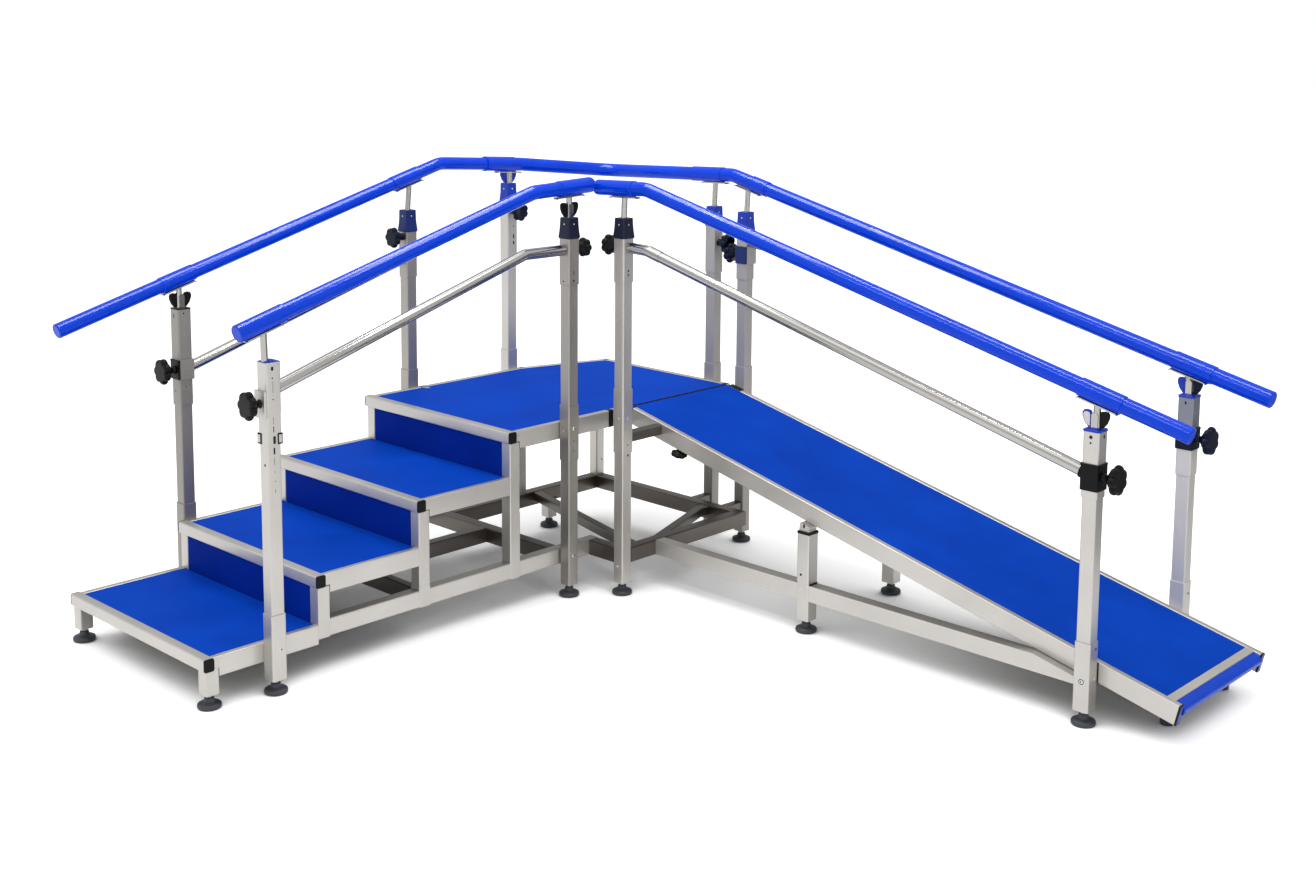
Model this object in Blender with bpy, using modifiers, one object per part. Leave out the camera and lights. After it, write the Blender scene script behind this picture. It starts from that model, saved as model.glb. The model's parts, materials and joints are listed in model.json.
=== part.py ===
"""Rehabilitation stairs with a ramp, joined by a corner platform with handrails.

Metres, +Z up. The origin is under the foot of the inner corner post on the ramp's side.
The stairs climb along +Y, the ramp goes down along +X.
"""
import math

import bmesh
import bpy
from mathutils import Matrix, Vector

for old in list(bpy.data.objects):
    bpy.data.objects.remove(old, do_unlink=True)

# Heights and plan
RISE = 0.140
GOING = 0.350
DECK_Z = 4 * RISE
STAIR_NEAR_X = -0.130
STAIR_FAR_X = -0.850
NOSING_1_Y = -1.411
RAMP_NEAR_Y = 0.160
RAMP_FAR_Y = 0.660
RAMP_END_X = 1.794
RAMP_END_Z = 0.114
CHAMFER_FAR_Y = 0.320
CHAMFER_TOP_X = -0.735
SEAM_FAR_Y = -0.130
SEAM_NEAR_Y = 0.065

# Square tube
POST = 0.040
POST_WALL = 0.002
SOCKET = 0.045
SOCKET_BORE = POST + 0.0006
RIM_W = 0.020
RIM_H = 0.055
RIM_WALL = 0.0018
NOSE_D = 0.030
NOSE_H = 0.035
BASE_W = 0.040
BASE_H = 0.050
BASE_TOP = 0.150
GAP = 0.0003

# Boards
BOARD_T = 0.018
BOARD_DROP = 0.0015
RISER_T = 0.012

# Handrails
RAIL_R = 0.0222
REAR_RAIL_R = 0.0238
SLEEVE_OVER_RAIL = 0.0023
MID_R = 0.01685
MID_WALL = 0.002
ROD_R = 0.010
POST_IN_SLEEVE = 0.100

# Feet and knobs
FOOT_H = 0.038
FOOT_R = 0.032
STEM_R = 0.008
STEM_CLEAR = 0.0003
KNOB_R = 0.035
KNOB_T = 0.017
ROUND = 12

build = bpy.data.collections.new("rehabilitation_stairs_with_ramp")
bpy.context.scene.collection.children.link(build)
cutters = bpy.data.collections.new("cutters")
bpy.context.scene.collection.children.link(cutters)


def material(name, colour, metallic, roughness):
    mat = bpy.data.materials.new(name)
    mat.use_nodes = True
    shader = mat.node_tree.nodes["Principled BSDF"]
    shader.inputs["Base Color"].default_value = (*colour, 1.0)
    shader.inputs["Metallic"].default_value = metallic
    shader.inputs["Roughness"].default_value = roughness
    return mat


LOOKS = {
    "steel": ((0.58, 0.57, 0.55), 1.0, 0.35),
    "board": ((0.01, 0.09, 0.52), 0.0, 0.6),
    "riser": ((0.01, 0.05, 0.30), 0.0, 0.6),
    "grip": ((0.01, 0.07, 0.75), 0.0, 0.25),
    "black": ((0.02, 0.02, 0.022), 0.0, 0.45),
    "foot": ((0.04, 0.042, 0.048), 0.0, 0.6),
}


def add_object(name, mesh, look, collection=build):
    obj = bpy.data.objects.new(name, mesh)
    collection.objects.link(obj)
    if look:
        mesh.materials.clear()
        mesh.materials.append(material(name + "_" + look, *LOOKS[look]))
    return obj


def hide_cutter(obj):
    obj.display_type = "WIRE"
    obj.hide_render = True
    return obj


def frame_of(a, b, lean=0.0):
    """Axes of a bar from a to b: along it, across it, and up its side."""
    along = (b - a).normalized()
    if abs(along.z) > 0.99:
        across = Vector((1.0, 0.0, 0.0))
    else:
        across = along.cross(Vector((0.0, 0.0, 1.0))).normalized()
    turn = Matrix.Rotation(lean, 3, along)
    across = turn @ across
    up = across.cross(along)
    return along, across, up


def bar_into(bm, a, b, width, height, over_a=0.0, over_b=0.0, lean=0.0):
    """A square-ended solid bar along a to b, lengthened at its ends."""
    a = Vector(a)
    b = Vector(b)
    along, across, up = frame_of(a, b, lean)
    start = a - along * over_a
    end = b + along * over_b
    turn = Matrix((across, up, along)).transposed().to_4x4()
    size = Matrix.Diagonal((width, height, (end - start).length, 1.0))
    bmesh.ops.create_cube(bm, size=1.0, matrix=Matrix.Translation((start + end) / 2) @ turn @ size)


def rod_into(bm, a, b, radius, sides=12):
    """A round solid bar along a to b."""
    a = Vector(a)
    b = Vector(b)
    along, across, up = frame_of(a, b)
    turn = Matrix((across, up, along)).transposed().to_4x4()
    place = Matrix.Translation((a + b) / 2) @ turn
    bmesh.ops.create_cone(
        bm,
        cap_ends=True,
        segments=sides,
        radius1=radius,
        radius2=radius,
        depth=(b - a).length,
        matrix=place,
    )


def curve_mesh(name, curve):
    """The closed mesh that a curve makes, with its caps welded on."""
    obj = bpy.data.objects.new(name, curve)
    bpy.context.scene.collection.objects.link(obj)
    bpy.context.view_layer.update()
    graph = bpy.context.evaluated_depsgraph_get()
    mesh = bpy.data.meshes.new_from_object(obj.evaluated_get(graph))
    bpy.data.objects.remove(obj, do_unlink=True)
    bm = bmesh.new()
    bm.from_mesh(mesh)
    bmesh.ops.remove_doubles(bm, verts=bm.verts, dist=0.00001)
    bmesh.ops.recalc_face_normals(bm, faces=bm.faces)
    bm.to_mesh(mesh)
    bm.free()
    mesh.name = name
    return mesh


def outline_mesh(name, outline, thickness):
    """A flat outline in the XY plane, thickened evenly to both sides."""
    curve = bpy.data.curves.new(name, "CURVE")
    curve.dimensions = "2D"
    curve.fill_mode = "BOTH"
    curve.extrude = thickness / 2
    spline = curve.splines.new("POLY")
    spline.points.add(len(outline) - 1)
    spline.use_cyclic_u = True
    for point, (px, py) in zip(spline.points, outline):
        point.co = (px, py, 0.0, 1.0)
    return curve_mesh(name, curve)


def outline_into(bm, outline, thickness, place):
    """Adds a thickened outline at a place."""
    mesh = outline_mesh("outline", outline, thickness)
    mesh.transform(place)
    bm.from_mesh(mesh)
    bpy.data.meshes.remove(mesh)


def prism_into(bm, outline, z0, z1):
    """A plate with the given plan outline between two heights."""
    outline_into(bm, outline, z1 - z0, Matrix.Translation((0.0, 0.0, (z0 + z1) / 2)))


def mesh_from(bm, name):
    bmesh.ops.recalc_face_normals(bm, faces=bm.faces)
    mesh = bpy.data.meshes.new(name)
    bm.to_mesh(mesh)
    bm.free()
    return mesh


def cut(obj, tool, operation="DIFFERENCE"):
    mod = obj.modifiers.new(operation.lower(), "BOOLEAN")
    mod.operation = operation
    mod.solver = "EXACT"
    mod.use_self = True
    mod.object = tool
    return mod


def welded(name, outer, inner, look="steel"):
    """One welded body: bars fused together, with their bores taken out of it.

    outer and inner are lists of functions that put a solid into a bmesh.
    """
    bm = bmesh.new()
    for put in outer:
        put(bm)
    obj = add_object(name, mesh_from(bm, name), look)
    bm = bmesh.new()
    for put in inner:
        put(bm)
    tool = add_object(name + "_bores", mesh_from(bm, name + "_bores"), None, cutters)
    cut(obj, hide_cutter(tool))
    return obj


def bar(a, b, width, height, over_a=0.0, over_b=0.0, lean=0.0):
    return lambda bm: bar_into(bm, a, b, width, height, over_a, over_b, lean)


def side_into(bm, outline, y0, y1):
    """A solid with the given outline seen from the side, between two widths."""
    upright = Matrix.Rotation(math.pi / 2, 4, "X")
    outline_into(bm, outline, y1 - y0, Matrix.Translation((0.0, (y0 + y1) / 2, 0.0)) @ upright)


def band(points, width, over=0.0):
    """Plan outline of a band along a line of points, mitred at its corners."""
    points = [Vector(p) for p in points]
    points[0] = points[0] + (points[0] - points[1]).normalized() * over
    points[-1] = points[-1] + (points[-1] - points[-2]).normalized() * over
    left = []
    right = []
    for k, point in enumerate(points):
        ways = []
        if k:
            ways.append((point - points[k - 1]).normalized())
        if k + 1 < len(points):
            ways.append((points[k + 1] - point).normalized())
        mean = sum(ways, Vector((0.0, 0.0))).normalized()
        reach = width / 2 / mean.dot(ways[0])
        side = Vector((-mean.y, mean.x)) * reach
        left.append(tuple(point + side))
        right.append(tuple(point - side))
    return left + right[::-1]


def rod(a, b, radius, sides=12):
    return lambda bm: rod_into(bm, a, b, radius, sides)


def side_plate(outline, y0, y1):
    return lambda bm: side_into(bm, outline, y0, y1)


def plate(outline, z0, z1):
    return lambda bm: prism_into(bm, outline, z0, z1)


class Frame:
    """Collects the bars and bores of one welded frame."""

    def __init__(self):
        self.outer = []
        self.inner = []

    def tube(self, a, b, width, height, wall, end_a=-0.003, end_b=-0.003, lean=0.0):
        self.outer.append(bar(a, b, width, height, 0.0, 0.0, lean))
        self.inner.append(bar(a, b, width - 2 * wall, height - 2 * wall, end_a, end_b, lean))

    def solid(self, put):
        self.outer.append(put)

    def hollow(self, put):
        self.inner.append(put)

    def post(self, x, y, z0, z1, sockets=(), foot=True, top_open=True):
        """An upright square tube with outer sockets and a hole for a foot's stem."""
        end = 0.01 if top_open else -0.003
        self.outer.append(bar((x, y, z0), (x, y, z1), POST, POST))
        bore = POST - 2 * POST_WALL
        start = -0.004 if foot else 0.01
        self.inner.append(bar((x, y, z0), (x, y, z1), bore, bore, start, end))
        if foot:
            self.inner.append(rod((x, y, z0 - 0.01), (x, y, z0 + 0.02), STEM_R + STEM_CLEAR))
        for s0, s1 in sockets:
            self.outer.append(bar((x, y, s0), (x, y, s1), SOCKET, SOCKET))

    def pad(self, x, y, z0, z1, width=0.030):
        """A thin packing piece that joins a post to the steel beside it."""
        self.outer.append(bar((x, y, z0), (x, y, z1), 0.004, width))

    def build(self, name):
        return welded(name, self.outer, self.inner)


def step_z(k):
    return RISE * k


def step_y(k):
    return NOSING_1_Y + GOING * (k - 1)


NEAR_LEG_X = STAIR_NEAR_X - POST / 2
FAR_LEG_X = STAIR_FAR_X + POST / 2
NEAR_RIM_X = STAIR_NEAR_X - 0.0005 - RIM_W / 2
FAR_RIM_X = STAIR_FAR_X + 0.0005 + RIM_W / 2
SIDE_OFF = SOCKET / 2 + GAP
RAMP_SLOPE = math.atan2(DECK_Z - RAMP_END_Z, RAMP_END_X - STAIR_NEAR_X)

# Plan centres of the handrail posts, numbered from the stairs' foot round to the ramp's foot
POSTS = {
    1: (STAIR_FAR_X - SOCKET / 2, step_y(2) + 0.006 + POST / 2 + 0.015),
    2: (STAIR_NEAR_X + 0.0205, -1.208),
    3: (STAIR_FAR_X - SOCKET / 2, -0.160),
    4: (STAIR_FAR_X - SOCKET / 2, 0.292),
    5: (STAIR_NEAR_X + SIDE_OFF, -0.130),
    6: (0.0, 0.0),
    7: (-0.230, RAMP_FAR_Y + 0.0205),
    8: (-0.088, RAMP_FAR_Y + SIDE_OFF),
    9: (1.545, RAMP_NEAR_Y - SIDE_OFF),
    10: (1.535, RAMP_FAR_Y + SIDE_OFF),
}
# Lower end and top of each sliding sleeve
SLEEVE_Z = {
    1: (0.636, 0.933),
    2: (0.684, 0.906),
    3: (0.940, 1.168),
    4: (0.940, 1.232),
    5: (0.995, 1.203),
    6: (1.000, 1.200),
    7: (0.940, 1.171),
    8: (0.929, 1.162),
    9: (0.604, 0.782),
    10: (0.556, 0.782),
}
BOOTED = (3, 4, 5, 6, 7, 8)
KNOB_Z = {1: 0.745, 2: 0.796, 3: 1.078, 4: 1.134, 5: 1.105, 6: 1.112, 7: 1.045, 8: 1.014, 9: 0.659, 10: 0.661}
COLLAR = {1: (0.716, 0.776), 2: (0.762, 0.830), 8: (0.984, 1.044), 9: (0.624, 0.694), 10: (0.630, 0.691)}
KNOB_WAY = {
    1: (0, -1, 0),
    2: (0, -1, 0),
    3: (0, -1, 0),
    4: (1, 0, 0),
    5: (0, 1, 0),
    6: (-1, 0, 0),
    7: (1, 0, 0),
    8: (-1, 0, 0),
    9: (1, 0, 0),
    10: (1, 0, 0),
}


def post_top(n):
    return SLEEVE_Z[n][0] + POST_IN_SLEEVE


def rim_rails(frame, k, y_near, y_far):
    """The two side rails and the nosing tube of one level."""
    z = step_z(k)
    y = step_y(k)
    rim_z = z - 0.0005 - RIM_H / 2
    head_z = z - 0.0005 - (NOSE_H - 0.001) / 2
    nose = (y + NOSE_D / 2, z - NOSE_H / 2)
    frame.tube(
        (STAIR_FAR_X, nose[0], nose[1]),
        (STAIR_NEAR_X, nose[0], nose[1]),
        NOSE_D,
        NOSE_H,
        0.0016,
        0.01,
        0.01,
    )
    for x, y_end in ((NEAR_RIM_X, y_near), (FAR_RIM_X, y_far)):
        start = y + 0.006 + POST + GAP
        frame.tube((x, start, rim_z), (x, y_end, rim_z), RIM_W, RIM_H, RIM_WALL, -0.003, 0.01)
        head_h = NOSE_H - 0.0016
        head_ends = ((x, nose[0], head_z), (x, start + 0.02, head_z))
        frame.tube(*head_ends, RIM_W - 0.0006, head_h, RIM_WALL, 0.0, 0.0)


# Rims of the lower steps
for level in (1, 2, 3):
    frame = Frame()
    end = step_y(level + 1) + 0.006 - GAP
    rim_rails(frame, level, end, end)
    cross_y = end - 0.030
    cross_z = step_z(level) - 0.0385
    cross_ends = ((FAR_RIM_X, cross_y, cross_z), (NEAR_RIM_X, cross_y, cross_z))
    frame.tube(*cross_ends, 0.030, 0.026, RIM_WALL, 0.0, 0.0)
    if level == 1:
        for x in (NEAR_LEG_X, FAR_LEG_X):
            y = step_y(1) + 0.006 + POST / 2
            frame.post(x, y, FOOT_H, step_z(1) - 0.030, top_open=False)
        x, y = POSTS[2]
        frame.post(x, y, FOOT_H, post_top(2), sockets=((FOOT_H + 0.001, 0.221),))
    frame.build(f"step_frame_{level}")

# Platform rim beside the top step, with one rear post
frame = Frame()
rim_rails(frame, 4, SEAM_NEAR_Y - GAP, SEAM_FAR_Y - GAP)
cross_ends = ((FAR_RIM_X, -0.200, DECK_Z - 0.040), (NEAR_RIM_X, -0.200, DECK_Z - 0.040))
frame.tube(*cross_ends, 0.030, 0.026, RIM_WALL, 0.0, 0.0)
x, y = POSTS[3]
frame.post(x, y, DECK_Z - 0.055, post_top(3), sockets=((DECK_Z - 0.054, 0.621),), foot=False)
frame.pad(STAIR_FAR_X - 0.0005, y, DECK_Z - 0.050, DECK_Z - 0.006)
frame.build("platform_frame")

# Corner platform rim with two rear posts
frame = Frame()
half = RIM_W / 2
far_x = FAR_RIM_X
near_x = NEAR_RIM_X
top_y = RAMP_FAR_Y - half
rim_top = DECK_Z - 0.0005
rim_low = rim_top - RIM_H
rim_path = [
    (far_x, SEAM_FAR_Y + GAP),
    (far_x, CHAMFER_FAR_Y),
    (CHAMFER_TOP_X, top_y),
    (near_x, top_y),
    (near_x, SEAM_NEAR_Y + GAP),
]
frame.solid(plate(band(rim_path, RIM_W), rim_low, rim_top))
frame.hollow(plate(band(rim_path, RIM_W - 2 * RIM_WALL, 0.01), rim_low + RIM_WALL, rim_top - RIM_WALL))
CORNER_LEG_X = -0.690
CORNER_LEGS_Y = (0.175, 0.560)
BEAM_W = 0.026
BEAM_H = 0.030
beam_z = DECK_Z - 0.0395
beam_low = beam_z - BEAM_H / 2
frame.tube(
    (far_x, SEAM_FAR_Y + 0.030, beam_z),
    (near_x, SEAM_NEAR_Y + 0.030, beam_z),
    BEAM_W,
    BEAM_H,
    RIM_WALL,
    0.0,
    0.0,
)
for y, x in ((CORNER_LEGS_Y[0], far_x), (CORNER_LEGS_Y[1], -0.763)):
    frame.tube((x, y, beam_z), (near_x, y, beam_z), BEAM_W, BEAM_H, RIM_WALL, 0.0, 0.0)
x, y = POSTS[4]
frame.post(x, y, DECK_Z - 0.055, post_top(4), sockets=((DECK_Z - 0.054, 0.629),), foot=False)
frame.pad(STAIR_FAR_X - 0.0005, y, DECK_Z - 0.050, DECK_Z - 0.006)
x, y = POSTS[7]
frame.post(x, y, FOOT_H, post_top(7), sockets=((DECK_Z - 0.054, 0.617), (0.255, 0.275)))
frame.build("corner_frame")

# Stair base: the legs of the upper steps on two floor rails and cross rails
LEG_TOP = NOSE_H + GAP
BASE_WALL = 0.002
SIDE_BASE_W = BASE_W - 0.002
base_z = BASE_TOP - BASE_H / 2
CROSS_Y = -0.149
near_base_x = NEAR_LEG_X - 0.0005
far_base_x = FAR_LEG_X + 0.0005


def base_rail(frame, a, b, order, width=BASE_W, end_a=0.0, end_b=0.0):
    """A floor rail; each one that meets another is a hair lower than it."""
    height = BASE_H - 0.0006 * order
    frame.tube((*a, base_z), (*b, base_z), width, height, BASE_WALL, end_a, end_b)


frame = Frame()
rail_start = step_y(2) + 0.006 + 0.0005
base_rail(frame, (near_base_x, rail_start), (near_base_x, 0.0205), 0, SIDE_BASE_W, -0.003, -0.003)
base_rail(frame, (far_base_x, rail_start), (far_base_x, CROSS_Y), 0, SIDE_BASE_W, -0.003, 0.0)
for k in (2, 3, 4):
    for x in (NEAR_LEG_X, FAR_LEG_X):
        y = step_y(k) + 0.006 + POST / 2
        low = BASE_TOP - BASE_H - 0.0005
        frame.tube((x, y, low), (x, y, step_z(k) - LEG_TOP), POST, POST, POST_WALL, 0.01, -0.003)
base_rail(frame, (far_base_x - 0.018, CROSS_Y), (near_base_x, CROSS_Y), 1)
mid_cross_y = step_y(3) + 0.026
base_rail(frame, (-0.480, mid_cross_y), (-0.480, CROSS_Y), 3)
base_rail(frame, (far_base_x, mid_cross_y), (near_base_x, mid_cross_y), 2, 0.030)
x, y = POSTS[1]
post_low = BASE_TOP - BASE_H + 0.001
frame.post(x, y, post_low, post_top(1), sockets=((post_low + 0.001, 0.329),), foot=False)
leg_y = step_y(2) + 0.006 + POST / 2
frame.pad(STAIR_FAR_X - 0.0005, leg_y, post_low + 0.004, step_z(2) - LEG_TOP - 0.004, 0.034)
frame.build("stair_base")

# Corner base: floor rails round the corner, braces and corner legs
frame = Frame()
BACK_Y = CORNER_LEGS_Y[1]
left_start = CROSS_Y + BASE_W / 2 + GAP
BRACE = 0.030
brace_z = BASE_TOP - 0.003 - BRACE / 2


def brace(frame, a, b, order):
    """A thinner tube between floor rails."""
    size = BRACE + 0.0006 * order
    frame.tube((*a, brace_z), (*b, brace_z), size, size, BASE_WALL, 0.0, 0.0)


base_rail(frame, (CORNER_LEG_X, left_start), (CORNER_LEG_X, BACK_Y), 0, BASE_W, 0.01, 0.0)
base_rail(frame, (CORNER_LEG_X - 0.019, BACK_Y), (0.0190, BACK_Y), 1, BASE_W, -0.003, -0.003)
base_rail(frame, (0.0, POST / 2 + GAP), (0.0, BACK_Y), 2, BASE_W, -0.003, 0.0)
link_x = near_base_x + SIDE_BASE_W / 2 + GAP
base_rail(frame, (link_x, 0.0), (-POST / 2 - GAP, 0.0), 1, BASE_W, -0.003, 0.01)
brace(frame, (-0.010, 0.170), (-0.130, 0.500), 0)
brace(frame, (-0.130, 0.490), (-0.130, BACK_Y), 1)
brace(frame, (-0.005, 0.066), (CORNER_LEG_X, 0.250), 2)
brace(frame, (-0.070, -0.004), (0.004, 0.070), -1)
leg_side = POST - 0.001
for y in CORNER_LEGS_Y:
    leg = (CORNER_LEG_X, y, BASE_TOP - 0.010)
    frame.tube(leg, (CORNER_LEG_X, y, beam_low - GAP), leg_side, leg_side, POST_WALL, 0.0, -0.003)
stub_y = 0.320
frame.post(CORNER_LEG_X, stub_y, FOOT_H, BASE_TOP - BASE_H + 0.010, top_open=False)
for n in (7, 8):
    x, y = POSTS[n]
    stop = y - POST / 2 - GAP
    frame.tube((x, BACK_Y, base_z), (x, stop, base_z), 0.030, 0.040, BASE_WALL, 0.0, -0.003)
frame.build("corner_base")

# Floor rail under the ramp, from the corner base to the ramp's front post, with the near middle leg
MID_LEG_TOP = 0.305
MID_INNER = 0.036
MID_LEGS = {"near": (0.6225, RAMP_NEAR_Y - 0.008), "far": (0.606, RAMP_FAR_Y - 0.054)}
rail_y = MID_LEGS["near"][1]
rail_half = BASE_W / 2
root_x = rail_half + GAP
tip_x = POSTS[9][0] - SOCKET / 2 - GAP


def under_ramp(x, below=0.0):
    """Height of the lower edge of the ramp's side rails, less a distance."""
    top = DECK_Z - (x - STAIR_NEAR_X) * math.tan(RAMP_SLOPE)
    return top - RIM_H / math.cos(RAMP_SLOPE) - below


def ramp_rail_outline(inset, x_start, x_stop):
    """Side outline of the floor rail that is sawn off under the ramp."""
    low = base_z - BASE_H / 2 + 0.0009 + inset
    high = base_z + BASE_H / 2 - 0.0009 - inset
    below = 0.001 + inset / math.cos(RAMP_SLOPE)
    meet = (under_ramp(0.0, below) - high) / math.tan(RAMP_SLOPE)
    return [(x_start, low), (x_stop, low), (x_stop, under_ramp(x_stop, below)), (meet, high), (x_start, high)]


def mid_tube(frame, x, y):
    """Outer tube of a middle leg, open at the top, with a hole for a foot's stem."""
    low = (x, y, FOOT_H)
    top = (x, y, MID_LEG_TOP)
    bore = MID_INNER + 2 * GAP
    frame.solid(bar(low, top, SOCKET, SOCKET))
    frame.hollow(bar(low, top, bore, bore, -0.004, 0.01))
    frame.hollow(rod((x, y, FOOT_H - 0.01), (x, y, FOOT_H + 0.02), STEM_R + STEM_CLEAR))


wall = BASE_WALL
frame = Frame()
mid_tube(frame, *MID_LEGS["near"])
frame.solid(side_plate(ramp_rail_outline(0.0, root_x, tip_x), rail_y - rail_half, rail_y + rail_half))
bore_outline = ramp_rail_outline(wall, root_x - 0.01, tip_x + 0.01)
frame.hollow(side_plate(bore_outline, rail_y - rail_half + wall, rail_y + rail_half - wall))
frame.build("ramp_floor_rail")

# Inner corner posts
frame = Frame()
x, y = POSTS[5]
frame.post(x, y, FOOT_H, post_top(5), sockets=((0.440, 0.615),))
frame.pad(x - 0.0205, y, BASE_TOP - BASE_H, BASE_TOP)
frame.build("post_5")
frame = Frame()
frame.post(0.0, 0.0, FOOT_H, post_top(6), sockets=((0.460, 0.662),))
frame.tube((0.0, 0.0, 0.500), (0.0, RAMP_NEAR_Y - GAP, 0.500), 0.036, 0.036, BASE_WALL, 0.0, -0.003)
frame.build("post_6")

# Ramp posts
for n, sockets in (
    (8, ((0.455, 0.624), (0.250, 0.272))),
    (9, ((FOOT_H + 0.001, 0.224),)),
    (10, ((FOOT_H + 0.001, 0.250),)),
):
    x, y = POSTS[n]
    frame = Frame()
    frame.post(x, y, FOOT_H, post_top(n), sockets=sockets)
    frame.build(f"post_{n}")


def ramp_point(x, y, down=0.0):
    """A point below the ramp's upper edge, square to the slope."""
    top = DECK_Z - (x - STAIR_NEAR_X) * math.tan(RAMP_SLOPE)
    return (x - math.sin(RAMP_SLOPE) * down, y, top - math.cos(RAMP_SLOPE) * down)


# Ramp frame
BAR_X = RAMP_END_X - 0.052
END_FOOT_X = 1.700
END_FEET_Y = (0.290, RAMP_FAR_Y - 0.043)
frame = Frame()
ramp_start = STAIR_NEAR_X + 0.014
for y in (RAMP_NEAR_Y + half, RAMP_FAR_Y - half):
    a = ramp_point(ramp_start, y, RIM_H / 2)
    b = ramp_point(RAMP_END_X, y, RIM_H / 2)
    frame.tube(a, b, RIM_W, RIM_H, RIM_WALL, 0.01, 0.01)
for x in (-0.060, 0.520, 1.120, END_FOOT_X):
    a = ramp_point(x, RAMP_NEAR_Y + half, 0.038)
    b = ramp_point(x, RAMP_FAR_Y - half, 0.038)
    frame.tube(a, b, 0.030, 0.030, RIM_WALL, 0.0, 0.0, RAMP_SLOPE)
frame.tube(
    ramp_point(BAR_X + 0.0125, RAMP_NEAR_Y + half, 0.010),
    ramp_point(BAR_X + 0.0125, RAMP_FAR_Y - half, 0.010),
    0.025,
    0.019,
    RIM_WALL,
    0.0,
    0.0,
    RAMP_SLOPE,
)

# Two short feet under the last cross tube
for y in END_FEET_Y:
    roof = ramp_point(END_FOOT_X, y, 0.045)[2]
    frame.solid(rod((END_FOOT_X, y, 0.006), (END_FOOT_X, y, roof), 0.008))
    frame.solid(rod((END_FOOT_X, y, 0.0), (END_FOOT_X, y, 0.014), 0.018))
frame.build("ramp_frame")


def below_ramp(x, y, down):
    """A point straight below the ramp's upper edge at x, on a level parallel to it."""
    top = DECK_Z - (x - STAIR_NEAR_X) * math.tan(RAMP_SLOPE)
    return (x, y, top - down / math.cos(RAMP_SLOPE))


# Inner tubes of the middle legs, each with a plate under the side rail
for name, plate_stop in (("near", RAMP_NEAR_Y + 0.018), ("far", RAMP_FAR_Y - 0.006)):
    x, y = MID_LEGS[name]
    frame = Frame()
    if name == "far":
        mid_tube(frame, x, y)
    under = RIM_H + GAP
    reach = MID_INNER / 2
    top = below_ramp(x, y, under + 0.012)[2] - 0.002
    low = FOOT_H + 0.040 if name == "near" else MID_LEG_TOP - 0.010
    size = MID_INNER if name == "near" else MID_INNER + 3 * GAP
    frame.tube((x, y, low), (x, y, top), size, size, POST_WALL, 0.01, -0.003)
    a = below_ramp(x - reach + 0.0005, y, under + 0.012)
    b = below_ramp(x + reach - 0.0005, y, under + 0.012)
    frame.solid(bar(a, b, MID_INNER - 0.001, 0.016))
    mid_y = (y - reach + plate_stop) / 2
    a = below_ramp(x - reach, mid_y, under + 0.003)
    b = below_ramp(x + reach, mid_y, under + 0.003)
    frame.solid(bar(a, b, plate_stop - y + reach, 0.006))
    frame.build(f"ramp_leg_{name}")

# Boards
board_gap = 0.0005
x0 = FAR_RIM_X + half + board_gap
x1 = NEAR_RIM_X - half - board_gap


def board(name, outline, z, look="board", thick=BOARD_T):
    bm = bmesh.new()
    prism_into(bm, outline, z - thick, z)
    return add_object(name, mesh_from(bm, name), look)


for k in (1, 2, 3):
    y0 = step_y(k) + NOSE_D + board_gap
    y1 = step_y(k + 1) + 0.006 - GAP - 0.001
    board(f"tread_{k}", [(x0, y0), (x1, y0), (x1, y1), (x0, y1)], step_z(k) - BOARD_DROP)
    riser_y = step_y(k + 1) + 0.007
    riser_low = step_z(k) - 0.020
    riser_top = step_z(k + 1) - NOSE_H - GAP
    place = (riser_y + RISER_T / 2, (riser_low + riser_top) / 2)
    bm = bmesh.new()
    a = (STAIR_FAR_X + POST + GAP, *place)
    b = (STAIR_NEAR_X - POST - GAP, *place)
    bar_into(bm, a, b, RISER_T, riser_top - riser_low)
    add_object(f"riser_{k}", mesh_from(bm, f"riser_{k}"), "riser")

seam = 0.0004
y0 = step_y(4) + NOSE_D + board_gap
board(
    "platform_board",
    [(x0, y0), (x1, y0), (x1, SEAM_NEAR_Y - seam), (x0, SEAM_FAR_Y - seam)],
    DECK_Z - BOARD_DROP,
)
slope = (CHAMFER_TOP_X - FAR_RIM_X, top_y - CHAMFER_FAR_Y)
length = math.hypot(*slope)
normal = (slope[1] / length, -slope[0] / length)
inset = half + board_gap
cx = FAR_RIM_X + normal[0] * inset
cy = CHAMFER_FAR_Y + normal[1] * inset
edge_y = RAMP_FAR_Y - RIM_W - 0.0005 - board_gap
t0 = (x0 - cx) / slope[0]
t1 = (edge_y - cy) / slope[1]
corner_outline = [
    (x0, SEAM_FAR_Y + seam),
    (x1, SEAM_NEAR_Y + seam),
    (x1, edge_y),
    (cx + slope[0] * t1, edge_y),
    (x0, cy + slope[1] * t0),
]
board("corner_board", corner_outline, DECK_Z - BOARD_DROP)


def ramp_slab(name, x_from, x_to, look, drop, thick, tilt_end=0.0):
    """A plate that lies along the ramp between its side rails."""
    bm = bmesh.new()
    y_mid = (RAMP_NEAR_Y + RAMP_FAR_Y) / 2
    width = RAMP_FAR_Y - RAMP_NEAR_Y - 2 * RIM_W - 2 * board_gap
    a = ramp_point(x_from, y_mid, drop + thick / 2)
    b = ramp_point(x_to, y_mid, drop + thick / 2)
    bar_into(bm, a, b, width, thick)
    return add_object(name, mesh_from(bm, name), look)


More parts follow.
